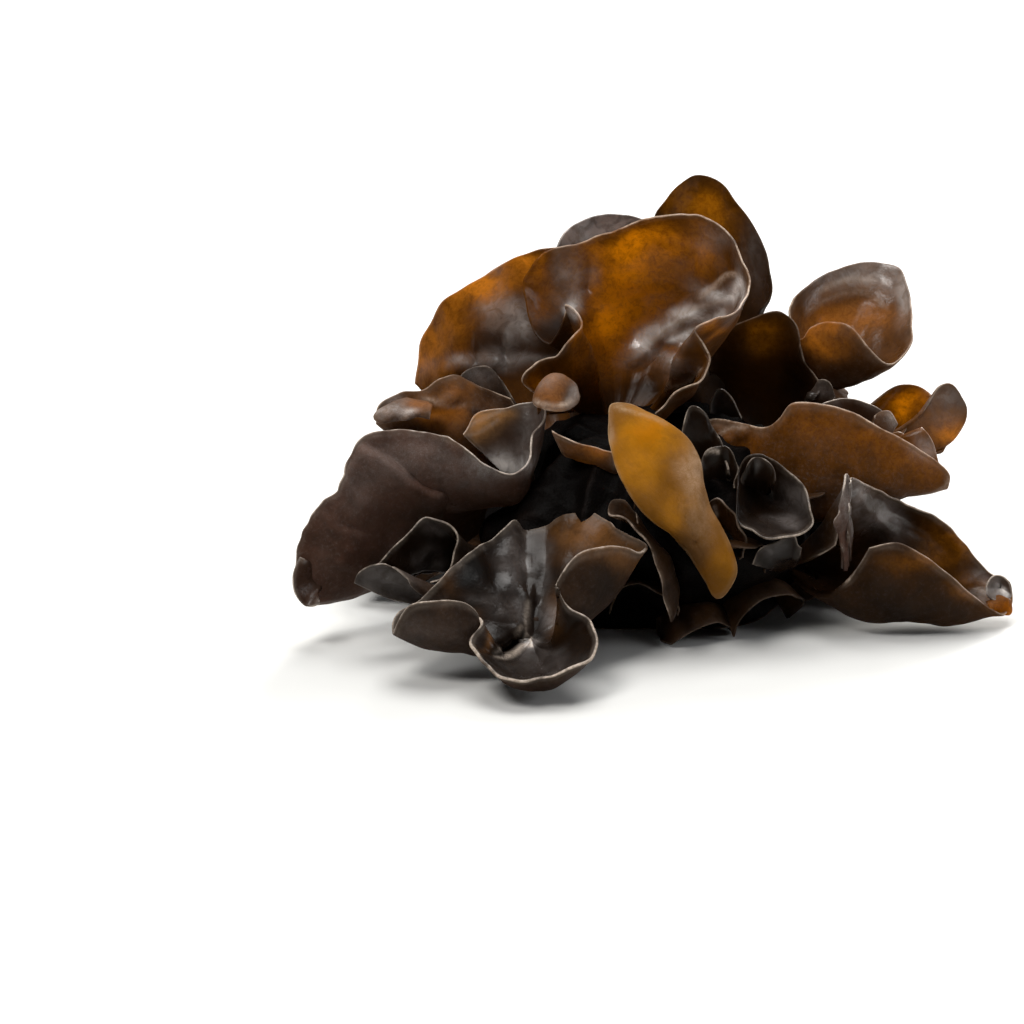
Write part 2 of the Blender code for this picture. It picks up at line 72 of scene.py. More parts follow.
toEye = turned((0, 0, -1))


def smoothLine(points, closed, perSpan=24):  # a Catmull-Rom spline through the points
    points = np.asarray(points, float)
    count = len(points)
    spans = count if closed else count - 1

    def pointAt(index):
        return points[index % count] if closed else points[min(max(index, 0), count - 1)]

    line = []
    for span in range(spans):
        before, start, end, after = (pointAt(span + k) for k in (-1, 0, 1, 2))
        for step in range(perSpan):
            t = step / perSpan
            bend = (2 * before - 5 * start + 4 * end - after) * t**2
            bend = bend + (3 * start - before - 3 * end + after) * t**3
            line.append(0.5 * (2 * start + (end - before) * t + bend))
    line.append(pointAt(spans))
    return np.array(line)


def lengthAlong(points):
    steps = np.linalg.norm(np.diff(points[:, :3], axis=0), axis=1)
    return np.concatenate([[0], np.cumsum(steps)])


def readAt(line, along, wanted):
    return np.array([np.interp(wanted, along, line[:, k]) for k in range(line.shape[1])]).T


def evened(line, closed, share=0.07):  # the line with its waves evened out over a share of its length
    along = lengthAlong(line)
    count = 80
    soft = readAt(line, along, np.linspace(0, along[-1], count + 1))
    for _ in range(round(2 * (share * count) ** 2)):
        if closed:
            ring = (np.roll(soft[:-1], 1, axis=0) + 2 * soft[:-1] + np.roll(soft[:-1], -1, axis=0)) / 4
            soft = np.vstack([ring, ring[:1]])
        else:
            soft[1:-1] = (soft[:-2] + 2 * soft[1:-1] + soft[2:]) / 4
    return readAt(soft, np.linspace(0, along[-1], count + 1), along)


def ripples(points, size, seed, waves=14):  # smooth random waves of about one size, with a spread of 1
    rng = np.random.default_rng(seed)
    directions = rng.normal(size=(waves, 3))
    directions /= np.linalg.norm(directions, axis=1)[:, None]
    lengths = size * rng.uniform(0.7, 1.6, waves)
    phases = rng.uniform(0, 2 * math.pi, waves)
    turns = points @ (directions / lengths[:, None] * 2 * math.pi).T + phases
    return np.sin(turns).sum(axis=-1) * math.sqrt(2 / waves)


def smoothStep(value, low, high):
    t = np.clip((value - low) / (high - low), 0, 1)
    return t * t * (3 - 2 * t)


# One ear is a sheet of ribs that run from its foot to its rim. All sizes are in millimetres.
sheetForm = {
    "cell": 0.85,  # between points of the mesh
    "waist": 0.6,  # share of a rib where its belly lies
    "thickFoot": 1.7,
    "thickRim": 0.6,
    "thinning": 12,  # how far from the rim it thins
    "rimRound": 0.3,
    "scallop": 0.12,  # how far the rim wanders in and out
    "scallopSize": 6,
    "wave": 0.45,  # soft unevenness of the whole sheet
    "waveSize": 18,
    "dent": 0.1,  # small dents
    "dentSize": 6,
    "ruffle": 0.35,  # up and down along the rim
    "ruffleSize": 9,
    "ruffleReach": 6,
    "gather": 0.2,  # folds that run from the foot to the rim
    "gatherSize": 16,
    "footWidth": 12,
    "wavesFade": 1.5,  # the higher, the nearer to the rim the waves stay
    "floorGap": 0.2,
}


def ribPoints(root, rim, bellyPush, waist, v):  # a parabola from root to rim through its own belly point
    belly = root + waist * (rim - root) + bellyPush
    handle = (belly - (1 - waist) ** 2 * root - waist**2 * rim) / (2 * waist * (1 - waist))
    return (1 - v) ** 2 * root + 2 * v * (1 - v) * handle + v**2 * rim


def gridNormals(points, closed):
    if closed:
        ring = points[:, :-1]
        along = (np.roll(ring, -1, axis=1) - np.roll(ring, 1, axis=1)) / 2
        along = np.concatenate([along, along[:, :1]], axis=1)
    else:
        along = np.gradient(points, axis=1)
    normals = np.cross(along, np.gradient(points, axis=0))
    if closed:
        normals[0] = normals[1].mean(axis=0)
    return normals / np.maximum(np.linalg.norm(normals, axis=2, keepdims=True), 1e-9)


def earSheet(ear, form, seed):
    closed = ear.get("closed", False)
    line = smoothLine(ear["line"], closed)
    soft = evened(line, closed)
    along = lengthAlong(line)
    bands = np.array([0, 0.06, 0.25, 0.6, 1]) * form["rimRound"]  # close rows that round the rim
    if closed:
        wanted = np.linspace(0, along[-1], round(along[-1] / form["cell"]))
    else:
        inner = np.linspace(bands[-1], along[-1] - bands[-1], round(along[-1] / form["cell"]))
        wanted = np.concatenate([bands[:-1], inner, along[-1] - bands[-2::-1]])
    line, soft = readAt(line, along, wanted), readAt(soft, along, wanted)
    rim, foot = line[:, :3].copy(), np.array(ear["footPoint"], float)
    outward = (rim - foot) / np.linalg.norm(rim - foot, axis=1)[:, None]
    line[:, :3] += outward * form["scallop"] * ripples(rim, form["scallopSize"], seed)[:, None]
    acrossFoot = soft[-1, :3] - soft[0, :3]
    if not closed:
        acrossFoot *= form["footWidth"] / np.linalg.norm(acrossFoot)
    root = foot + np.linspace(-0.5, 0.5, len(line))[:, None] * acrossFoot
    root = root + ear.get("footShare", 0) * (soft[:, :3] - soft[:, :3].mean(axis=0))

    def ribsAt(v):
        row = soft + (line - soft) * v ** form["wavesFade"]
        return ribPoints(root, row[:, :3], row[:, 3:6], form["waist"], v)

    # a few coarse rows, to measure the ribs with
    coarse = np.array([ribsAt(np.full((len(line), 1), v)) for v in np.linspace(0, 1, 25)])
    ribLength = np.linalg.norm(np.diff(coarse, axis=0), axis=2).sum(axis=0)
    rows = round(ribLength.max() / form["cell"])
    vRows = [np.clip(1 - bands[-1] / ribLength, 0, 1) * step for step in np.linspace(0, 1, rows)]
    vRows += [1 - gap / ribLength for gap in bands[-2::-1]]
    vGrid = np.clip(np.array(vRows), 0, 1)
    points = np.array([ribsAt(v[:, None]) for v in vGrid])
    rimGap = (1 - vGrid) * ribLength
    sideGap = np.full(rimGap.shape, farAway)
    if not closed:  # the sides draw together toward the foot
        sideGap = np.minimum(wanted, along[-1] - wanted) * (0.12 + 0.88 * vGrid)
    lift = sheetLift(points, rim, rimGap, vGrid, form, seed)
    points = points + gridNormals(points, closed) * lift[..., None]
    normals = gridNormals(points, closed)
    toMiddle = points[-1].mean(axis=0) - points
    awayFromFoot = rows // 3
    facing = np.sign((normals * toMiddle).sum(axis=2)[awayFromFoot:].mean())
    points = folded(points, normals * facing, ear.get("folds", []))
    points[..., 2] = np.maximum(points[..., 2], form["thickFoot"] / 2 + form["floorGap"])
    return points, gridNormals(points, closed) * facing, rimGap, sideGap, vGrid, wanted


def sheetLift(points, rim, rimGap, vGrid, form, seed):  # the ruffles, gathers, waves and dents of a sheet
    ruffle = form["ruffle"] * ripples(rim, form["ruffleSize"], seed + 1)
    gather = form["gather"] * ripples(rim, form["gatherSize"], seed + 2)
    wave = form["wave"] * ripples(points, form["waveSize"], seed + 3)
    wave = wave + form["dent"] * ripples(points, form["dentSize"], seed + 4)
    lift = ruffle * np.exp(-rimGap / form["ruffleReach"]) * vGrid
    return lift + gather * 4 * vGrid * (1 - vGrid) + wave * smoothStep(vGrid, 0, 0.5)


def fold(line, width, height, steep=1, wall="inside", fade=0.25, power=2):  # a crease if height < 0
    settings = {"line": line, "width": width, "height": height, "steep": steep}
    return {**settings, "wall": wall, "fade": fade, "power": power}


def folded(points, inward, folds):  # ridges and creases, drawn as the eye sees them and lifted toward it
    across, up = seen(points)
    towardEye = (inward * toEye).sum(axis=2)
    lift = np.zeros(across.shape)
    for ridge in folds:
        wall = {"inside": 1, "outside": -1}[ridge["wall"]]
        onWall = smoothStep(wall * towardEye, -0.1, 0.25)
        nearest, onLeft, ends = nearLine(across, up, ridge["line"], ridge["fade"])
        width = np.where(onLeft, ridge["width"], ridge["width"] * ridge["steep"])
        lift += ridge["height"] * onWall * ends * np.exp(-((nearest / width) ** ridge["power"]))
    return points + lift[..., None] * toEye


def nearLine(across, up, corners, fade):  # how far off a drawn line, on which side, how near to its middle
    line = smoothLine(corners, closed=False, perSpan=8)
    nearest, sideOf, share = (np.full(across.shape, start) for start in (farAway, 0.0, 0.0))
    for k, (start, end) in enumerate(zip(line[:-1], line[1:])):
        run = end - start
        t = np.clip(((across - start[0]) * run[0] + (up - start[1]) * run[1]) / (run @ run), 0, 1)
        alongAcross, alongUp = across - start[0] - t * run[0], up - start[1] - t * run[1]
        away = np.hypot(alongAcross, alongUp)
        closer = away < nearest
        nearest = np.where(closer, away, nearest)
        sideOf = np.where(closer, run[0] * alongUp - run[1] * alongAcross, sideOf)
        share = np.where(closer, (k + t) / (len(line) - 1), share)
    return nearest, sideOf > 0, smoothStep(share, -0.02, fade) * smoothStep(1 - share, -0.02, fade)


marks = {"streakWidth": 0.55, "streakFade": 0.15, "patchWander": 0.9, "wanderSize": 12, "patchSoft": 2.2}


def streakMask(points, lines):  # thin pale lines, some of them pale edges of folds and some painted glints, each its corners and its strength
    across, up = seen(points)
    mask = np.zeros(across.shape)
    for corners, strength in lines:
        nearest, _, ends = nearLine(across, up, corners, marks["streakFade"])
        mask = np.maximum(mask, strength * ends * np.exp(-((nearest / marks["streakWidth"]) ** 2)))
    return mask


def patchMask(points, patches, plateau=False):  # patches (across, up, half width, half height, strength)
    across, up = seen(points)
    across, up = (
        value + marks["patchWander"] * ripples(points, marks["wanderSize"], seed)
        for value, seed in ((across, 5), (up, 6))
    )
    clear = np.ones(across.shape)
    for patch in patches:
        away = np.hypot((across - patch[0]) / patch[2], (up - patch[1]) / patch[3])
        soft = np.exp(-marks["patchSoft"] * away**2)
        clear *= 1 - patch[4] * (1 - smoothStep(away, 0.75, 1.1) if plateau else soft)
    return 1 - clear


def meshFrom(name, points, faces, values, side=None):  # points in mm, one value per point in each of values
    used, renumbered = np.unique(faces, return_inverse=True)
    faces = renumbered.reshape(faces.shape)
    clean = [list(dict.fromkeys(face)) for face in faces.tolist()]
    kept = [k for k, face in enumerate(clean) if len(face) > 2]
    mesh = bpy.data.meshes.new(name)
    mesh.from_pydata((points[used] * mm).tolist(), [], [clean[k] for k in kept])
    if side is not None:
        mesh.polygons.foreach_set("material_index", side[kept].astype(np.int32))
    mesh.polygons.foreach_set("use_smooth", np.ones(len(kept), bool))
    for key, value in values.items():
        layer = mesh.attributes.new(key, "FLOAT", "POINT")
        layer.data.foreach_set("value", value.ravel()[used].astype(np.float32))
    mesh.update()
    return mesh


def gridFaces(grid, flip=False):
    corners = [grid[:-1, :-1], grid[:-1, 1:], grid[1:, 1:], grid[1:, :-1]]
    faces = np.stack(corners, axis=-1).reshape(-1, 4)
    return faces[:, ::-1] if flip else faces


def earMesh(name, ear, form, seed):
    points, normals, rimGap, sideGap, vGrid, along = earSheet(ear, form, seed)
    closed = ear.get("closed", False)
    rows, columns = rimGap.shape
    thicker = form["thickFoot"] - form["thickRim"]
    thick = form["thickRim"] + thicker * smoothStep(rimGap, 0, form["thinning"])
    rounding = 1.0
    for gap in (rimGap, sideGap):
        rounding = rounding * np.sqrt(1 - (1 - np.clip(gap / form["rimRound"], 0, 1)) ** 2)
    rounding[0] = 1 if closed else 0
    half = (thick / 2 * rounding)[..., None] * normals
    numbers = np.arange(rows * columns).reshape(rows, columns)
    outer = numbers + rows * columns
    outer[-1] = numbers[-1]
    if closed:
        for grid in (numbers, outer):
            grid[:, -1] = grid[:, 0]
            grid[0] = grid[0, 0]
    else:
        outer[:, 0], outer[:, -1] = numbers[:, 0], numbers[:, -1]
        outer[0] = numbers[0]

    across = points[1:, 1:] - points[1:, :-1]
    out = points[1:, 1:] - points[:-1, 1:]
    turn = (np.cross(across, out) * normals[1:, 1:]).sum(axis=2).mean() > 0
    faces = np.concatenate([gridFaces(numbers, not turn), gridFaces(outer, turn)])
    side = np.repeat([0, 1], (rows - 1) * (columns - 1))
    values = {
        "rimGap": np.minimum(rimGap, sideGap + 4 * (1 - smoothStep(vGrid, 0.3, 0.75))),
        "footShare": vGrid,
        "along": np.broadcast_to(along, vGrid.shape),
        "rimLight": ear.get("rimLight", 1.0) * (1 - patchMask(points, ear.get("rimDim", []), True)),
    }
    # each ear's patches of painted glow, painted sheen and painted shade
    for key in ("glow", "paintedSheen", "deep"):
        values[key] = patchMask(points, ear.get(key, []))
    values["streak"] = streakMask(points, ear.get("streaks", []))
    both = {key: np.concatenate([value, value]) for key, value in values.items()}
    # the painted sheen is weaker on the back face
    both["paintedSheen"][rows:] *= ear.get("backPaintedSheen", 1)
    everyPoint = np.concatenate([(points + half).reshape(-1, 3), (points - half).reshape(-1, 3)])
    return meshFrom(name, everyPoint, faces, both, side)


neckForm = {  # low, high and flare are radii in millimetres
    "around": 64, "rings": 40, "low": 7, "high": 4.2, "flare": 3.2, "fold": 0.35, "folds": 7, "twist": 4,
    "short": 0,
}


def neckMesh(name, start, end, form):  # the short neck that carries a cup, with lengthwise folds
    start, end = np.array(start), np.array(end)
    run = end - start
    way = run / np.linalg.norm(run)
    run = run - form["short"] * way
    side = np.cross(way, [0, 0, 1])
    side /= np.linalg.norm(side)
    other = np.cross(side, way)
    share = np.linspace(0, 1, form["rings"])[:, None]
    angle = np.linspace(0, 2 * math.pi, form["around"] + 1)[None, :]
    radius = form["low"] + (form["high"] - form["low"]) * smoothStep(share, 0, 0.75)
    radius = radius + form["flare"] * smoothStep(share, 0.7, 1) ** 2
    radius = radius + form["fold"] * np.sin(form["folds"] * angle + form["twist"] * share)
    radius = radius * np.minimum(1, np.minimum(share, 1 - share) * 1e3)  # closed ends
    spokes = np.cos(angle)[..., None] * side + np.sin(angle)[..., None] * other
    points = start + share[..., None] * run + radius[..., None] * spokes
    rings, around = radius.shape
    numbers = np.arange(rings * around).reshape(rings, around)
    numbers[:, -1] = numbers[:, 0]
    numbers[0], numbers[-1] = numbers[0, 0], numbers[-1, 0]
    blank = np.zeros(radius.shape)
    values = {key: blank for key in ("rimLight", "glow", "paintedSheen", "deep", "streak")}
    # a neck has no rim, so the gap to it is large
    values.update({"rimGap": blank + 99, "footShare": blank + share, "along": blank + angle * 4})
    return meshFrom(name, points.reshape(-1, 3), gridFaces(numbers), values)


class Wire:  # one socket, to write sums with
    def __init__(self, paint, socket):
        self.paint = paint
        self.socket = socket

    def sum(self, operation, first, second):
        return self.paint.node("ShaderNodeMath", {"operation": operation}, {0: first, 1: second})

    def __add__(self, other):
        return self.sum("ADD", self, other)

    def __radd__(self, other):
        return self.sum("ADD", other, self)

    def __sub__(self, other):
        return self.sum("SUBTRACT", self, other)

    def __rsub__(self, other):
        return self.sum("SUBTRACT", other, self)

    def __mul__(self, other):
        return self.sum("MULTIPLY", self, other)

    def __rmul__(self, other):
        return self.sum("MULTIPLY", other, self)


class Paint:  # the nodes of one material, or of the sky
    def __init__(self, holder):
        self.holder = holder
        holder.use_nodes = True
        self.tree = holder.node_tree
        self.tree.nodes.clear()

    def node(self, kind, settings=None, sockets=None, out=0):
        made = self.tree.nodes.new(kind)
        for key, value in (settings or {}).items():
            setattr(made, key, value)
        for key, value in (sockets or {}).items():
            if isinstance(value, Wire):
                self.tree.links.new(value.socket, made.inputs[key])
            else:
                made.inputs[key].default_value = value
        return Wire(self, made.outputs[out]) if made.outputs else made

    def position(self):  # millimetres in the cluster's own axes
        place = self.node("ShaderNodeTexCoord", out="Object")
        return self.node("ShaderNodeVectorMath", {"operation": "SCALE"}, {0: place, "Scale": 1 / mm})

    def value(self, name):
        return self.node("ShaderNodeAttribute", {"attribute_name": name}, out="Fac")

    def noise(self, place, size, detail=3, roughness=0.55, distortion=0.0):
        sockets = {"Vector": place, "Scale": 1 / size, "Detail": detail, "Roughness": roughness}
        return self.node("ShaderNodeTexNoise", {}, {**sockets, "Distortion": distortion}, "Fac")

    def ramp(self, value, low, high, fromOut=0.0, toOut=1.0):
        sockets = {"Value": value, "From Min": low, "From Max": high, "To Min": fromOut, "To Max": toOut}
        return self.node("ShaderNodeMapRange", {"interpolation_type": "SMOOTHSTEP"}, sockets)

    def mix(self, share, first, second):
        first, second = ((*c, 1) if isinstance(c, tuple) else c for c in (first, second))
        return self.node("ShaderNodeMix", {"data_type": "RGBA"}, {0: share, 6: first, 7: second}, 2)

    def bumps(self, side, height):
        sockets = {"Strength": side["bump"], "Distance": side["bumpHeight"] * mm, "Height": height}
        return self.node("ShaderNodeBump", {}, sockets)

    def principled(self, sockets):
        return self.node("ShaderNodeBsdfPrincipled", {}, sockets)

    def finish(self, shader, kind="Material"):
        self.node("ShaderNodeOutput" + kind, {}, {"Surface": shader})
        return self.holder


def newPaint(name):
    return Paint(bpy.data.materials.new(name))


# Colours are linear. "glow" is the amber of thin flesh, used as a painted glow of the light from behind it,
# "through" the light that comes through it, "clear" how much, the sheen grey a painted reflection of the
# room on wet flesh, and the dark tone a darker flesh colour that the shade patches also use as painted
# shade. The slot is the frame's.
fleshLooks = {
    "tongue": {
        "slot": "flesh_amber",
        "inside": (0.11, 0.04, 0.001), "outside": (0.11, 0.04, 0.001), "deep": (0.065, 0.024, 0.001),
        "glow": (0.56, 0.22, 0.001), "through": (0.97, 0.62, 0.05), "paintedSheen": (0.50, 0.35, 0.23),
        "rim": (0.46, 0.34, 0.21), "clear": 0.62, "shine": 0.12, "grain": 0.3,
    },
    "amber": {
        "slot": "flesh_amber",
        "inside": (0.085, 0.027, 0.0015), "outside": (0.075, 0.024, 0.001), "deep": (0.022, 0.008, 0.001),
        "glow": (0.21, 0.063, 0.001), "through": (1.0, 0.55, 0.04), "paintedSheen": (0.95, 0.90, 0.86),
        "rim": (0.44, 0.34, 0.26), "clear": 0.62, "shine": 0.15, "grain": 1,
    },
    "rust": {
        "slot": "flesh_amber",
        "inside": (0.072, 0.027, 0.006), "outside": (0.080, 0.031, 0.008), "deep": (0.018, 0.008, 0.004),
        "glow": (0.24, 0.085, 0.014), "through": (0.98, 0.55, 0.12), "paintedSheen": (0.90, 0.84, 0.79),
        "rim": (0.40, 0.31, 0.24), "clear": 0.56, "shine": 0.15, "grain": 0.8,
    },
    "mauve": {
        "slot": "flesh_brown",
        "inside": (0.034, 0.018, 0.012), "outside": (0.055, 0.025, 0.016), "deep": (0.016, 0.008, 0.005),
        "glow": (0.46, 0.23, 0.08), "through": (0.90, 0.55, 0.20), "paintedSheen": (0.76, 0.71, 0.67),
        "rim": (0.46, 0.39, 0.33), "clear": 0.40, "shine": 0.15, "grain": 0.6,
    },
    "umber": {
        "slot": "flesh_dark",
        "inside": (0.022, 0.009, 0.003), "outside": (0.026, 0.010, 0.002), "deep": (0.005, 0.0025, 0.001),
        "glow": (0.15, 0.05, 0.002), "through": (0.95, 0.54, 0.06), "paintedSheen": (0.42, 0.37, 0.35),
        "rim": (0.36, 0.28, 0.22), "clear": 0.45, "shine": 0.1, "grain": 0.8,
    },
    "black": {
        "slot": "flesh_dark",
        "inside": (0.008, 0.004, 0.002), "outside": (0.024, 0.012, 0.006), "deep": (0.002, 0.0012, 0.0008),
        "glow": (0.24, 0.10, 0.026), "through": (0.88, 0.52, 0.15), "paintedSheen": (0.40, 0.35, 0.33),
        "rim": (0.40, 0.33, 0.27), "clear": 0.40, "shine": 0.1, "grain": 0.6,
    },
}


# Sizes are in millimetres. A share says how strongly a pattern counts.
grainSizes = {"mottle": 8, "specks": 1.5, "glow": 5, "sheenGrain": 3.2, "sheenSpots": 2.4, "down": 0.3, "tufts": 0.8}
grainShares = {"specks": 0.5, "specksOnGlow": 0.45, "deepOnGlow": 0.6, "deepest": 0.35}
wetSide = {
    "roughness": 0.2, "mottleRoughness": 0.12, "deepRoughness": 0.15, "coatRoughness": 0.17,
    "coatIor": 2.1, "bump": 0.4, "bumpHeight": 0.5, "lumpSize": 2.4, "streakSize": 1.6,
    "streakShare": 0.5, "fineSize": 0.6, "fineShare": 0.15,
}
downySide = {
    "roughness": 0.6, "shineShare": 0.6, "bump": 0.35, "bumpHeight": 0.6, "lumpSize": 2.6,
    "hairShare": 0.4, "streakSize": 1.1, "streakShare": 0.35, "patchSize": 7, "patchShare": 0.015,
    "tuftShare": 0.04,
}


def fleshColour(paint, place, look, base):
    mottle = paint.noise(place, grainSizes["mottle"], 4, 0.6, 0.6)
    specks = paint.noise(place, grainSizes["specks"], 5, 0.7, 0.8)
    colour = paint.mix(paint.ramp(mottle, 0.3, 0.65, 0.35, 1), look["deep"], look[base])
    speckShare = grainShares["specks"] * look["grain"]
    colour = paint.mix(paint.ramp(specks, 0.35, 0.6, speckShare, 0), colour, look["deep"])
    # painted glow: the light from behind shining through thin flesh, painted amber in patches broken up by
    # clouds and specks
    clouds = paint.noise(place, grainSizes["glow"], 4, 0.6, 0.5)
    glow = paint.value("glow") * paint.ramp(clouds, 0.25, 0.6, 0.55, 1)
    glow = glow * paint.ramp(specks, 0.3, 0.62, 1 - grainShares["specksOnGlow"] * look["grain"], 1)
    # painted shade: shade patches dim the painted glow and darken the colour toward a still darker tone
    glow = glow * (1 - paint.value("deep") * grainShares["deepOnGlow"])
    colour = paint.mix(glow, colour, look["glow"])
    deepest = tuple(grainShares["deepest"] * c for c in look["deep"])
    return paint.mix(paint.value("deep"), colour, deepest), mottle, glow


rimMarks = {  # sizes and distances from the edge in millimetres
    "line": 0.24, "grooveShade": (0.25, 0.5, 0.95), "grooveShadeShare": 0.45, "softWidth": 1.8, "softShare": 0.18,
    "wander": 0.3, "wanderSize": 1.4, "breakSize": 4.5, "grainSize": 0.9,
}


def rimPaint(paint, place, colour, look):  # the thin pale edge of every ear, a painted shade band just inside it, and pale lines on it, some of them painted glints
    wander = paint.noise(place, rimMarks["wanderSize"]) * rimMarks["wander"]
    gap = paint.value("rimGap") + wander - rimMarks["wander"] / 2
    breaks = paint.ramp(paint.noise(place, rimMarks["breakSize"]), 0.32, 0.62, 0.12, 1)
    breaks = breaks * paint.value("rimLight")
    grains = paint.ramp(paint.noise(place, rimMarks["grainSize"], 3, 0.7), 0.35, 0.6, 0.45, 1)
    soft = 1 - paint.ramp(gap, 0.1, rimMarks["softWidth"])
    colour = paint.mix(soft * breaks * rimMarks["softShare"], colour, look["rim"])
    # painted shade: a dark band just inside the pale edge, as if shaded by a groove
    start, middle, end = rimMarks["grooveShade"]
    grooveShade = paint.ramp(gap, start, middle) * (1 - paint.ramp(gap, middle, end))
    colour = paint.mix(grooveShade * breaks * rimMarks["grooveShadeShare"], colour, look["deep"])
    line = (1 - paint.ramp(gap, 0.0, rimMarks["line"])) * breaks * grains
    # pale lines drawn on the surface, some of them painted glints
    streak = paint.value("streak") * grains
    return paint.mix(streak, paint.mix(line, colour, look["rim"]), look["rim"])


def streaks(paint, size):  # fine lines that run from the foot to the rim
    wide = paint.value("along") * (1 / size)
    tall = paint.value("footShare") * 1.2
    spot = paint.node("ShaderNodeCombineXYZ", {}, {0: wide, 1: tall})
    return paint.noise(spot, 1, 2, 0.6)


def throughMix(paint, look, glow, shader):  # thin flesh lets light from behind come through
    through = paint.node("ShaderNodeBsdfTranslucent", {}, {"Color": (*look["through"], 1)})
    thin = paint.ramp(glow, 0, 1, look["clear"] * 0.12, look["clear"])
    return paint.finish(paint.node("ShaderNodeMixShader", {}, {0: thin, 1: shader, 2: through}))


def insideFlesh(name, look):  # smooth, wet side
    paint = newPaint(name)
    place = paint.position()
    colour, mottle, glow = fleshColour(paint, place, look, "inside")
    # painted sheen: a grey reflection of the room painted on wet flesh in patches, broken up by grain; the
    # coat follows it
    sheenGrain = paint.ramp(paint.noise(place, grainSizes["sheenGrain"], 5, 0.62, 0.8), 0.3, 0.68)
    paintedSheen = paint.value("paintedSheen") * paint.ramp(sheenGrain, 0, 1, 0.5, 1)
    colour = paint.mix(paintedSheen, colour, look["paintedSheen"])
    colour = rimPaint(paint, place, colour, look)
    lumps = paint.noise(place, wetSide["lumpSize"], 4, 0.6, 0.4)
    height = lumps + streaks(paint, wetSide["streakSize"]) * wetSide["streakShare"]
    height = height + paint.noise(place, wetSide["fineSize"], 2) * wetSide["fineShare"]
    roughness = wetSide["roughness"] + mottle * wetSide["mottleRoughness"]
    # rougher where shade is painted
    roughness = roughness + paint.value("deep") * wetSide["deepRoughness"]
    sockets = {
        "Base Color": colour, "Roughness": roughness, "Normal": paint.bumps(wetSide, height),
        "Specular IOR Level": look["shine"], "Coat Weight": paintedSheen,
        "Coat Roughness": wetSide["coatRoughness"], "Coat IOR": wetSide["coatIor"],
    }
    return throughMix(paint, look, glow, paint.principled(sockets))


def outsideFlesh(name, look):  # matt, finely downy side
    paint = newPaint(name)
    place = paint.position()
    colour, _, glow = fleshColour(paint, place, look, "outside")
    down = paint.noise(place, grainSizes["down"], 2, 0.7)
    tufts = paint.noise(place, grainSizes["tufts"], 4, 0.7, 0.5)
    # painted sheen: a faint grey haze in cloudy patches and tufts, kept off the glow, and the ear's painted
    # sheen patches, broken up by the down
    clouds = paint.noise(place, downySide["patchSize"], 4)
    patch = paint.ramp(clouds, 0.4, 0.8, 0.0, downySide["patchShare"])
    patch = (patch + paint.ramp(tufts, 0.48, 0.72, 0.0, downySide["tuftShare"])) * (1 - glow)
    sheenSpots = paint.ramp(paint.noise(place, grainSizes["sheenSpots"], 5, 0.7, 0.8), 0.3, 0.65, 0.35, 0.8)
    sheenGrain = patch + paint.value("paintedSheen") * sheenSpots
    colour = paint.mix(sheenGrain * paint.ramp(down, 0.3, 0.7, 0.6, 1), colour, look["paintedSheen"])
    colour = rimPaint(paint, place, colour, look)
    height = down * downySide["hairShare"] + tufts * downySide["hairShare"]
    height = height + paint.noise(place, downySide["lumpSize"], 4, 0.6)
    height = height + streaks(paint, downySide["streakSize"]) * downySide["streakShare"]
    sockets = {
        "Base Color": colour, "Roughness": downySide["roughness"],
        "Normal": paint.bumps(downySide, height),
        "Specular IOR Level": look["shine"] * downySide["shineShare"],
    }
    return throughMix(paint, look, glow, paint.principled(sockets))


flesh = {
    key: (insideFlesh(key + "Inside", look), outsideFlesh(key + "Outside", look))
    for key, look in fleshLooks.items()
}
print("finishes made:", len(flesh) * 2)


def addObject(name, data):
    made = bpy.data.objects.new(name, data)
    bpy.context.scene.collection.objects.link(made)
    return made


def addPiece(name, mesh, materials, node):
    piece = addObject(name, mesh)
    for material in materials:
        mesh.materials.append(material)
    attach(piece, body)
    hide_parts(node)


def addEar(name, ear, seed):
    form = {**sheetForm, **{key: ear[key] for key in sheetForm if key in ear}}
    addPiece(name, earMesh(name, ear, form, seed), flesh[ear["look"]], ear["node"])
    if "stalk" in ear:
        neckShape = {**neckForm, **ear.get("neck", {})}
        neck = neckMesh(name + "Neck", upright(ear["stalk"]), ear["footPoint"], neckShape)
        addPiece(name + "Neck", neck, flesh[ear["look"]][1:], ear["node"])


def addHandEar(name, ear):
    push = turned(ear["bulge"])
    line = [[*upright(rib), *((rib[3] if len(rib) > 3 else 1) * push)] for rib in ear["ribs"]]
    addEar(name, {**ear, "footPoint": upright(ear["foot"]), "line": line}, sum(map(ord, name)))
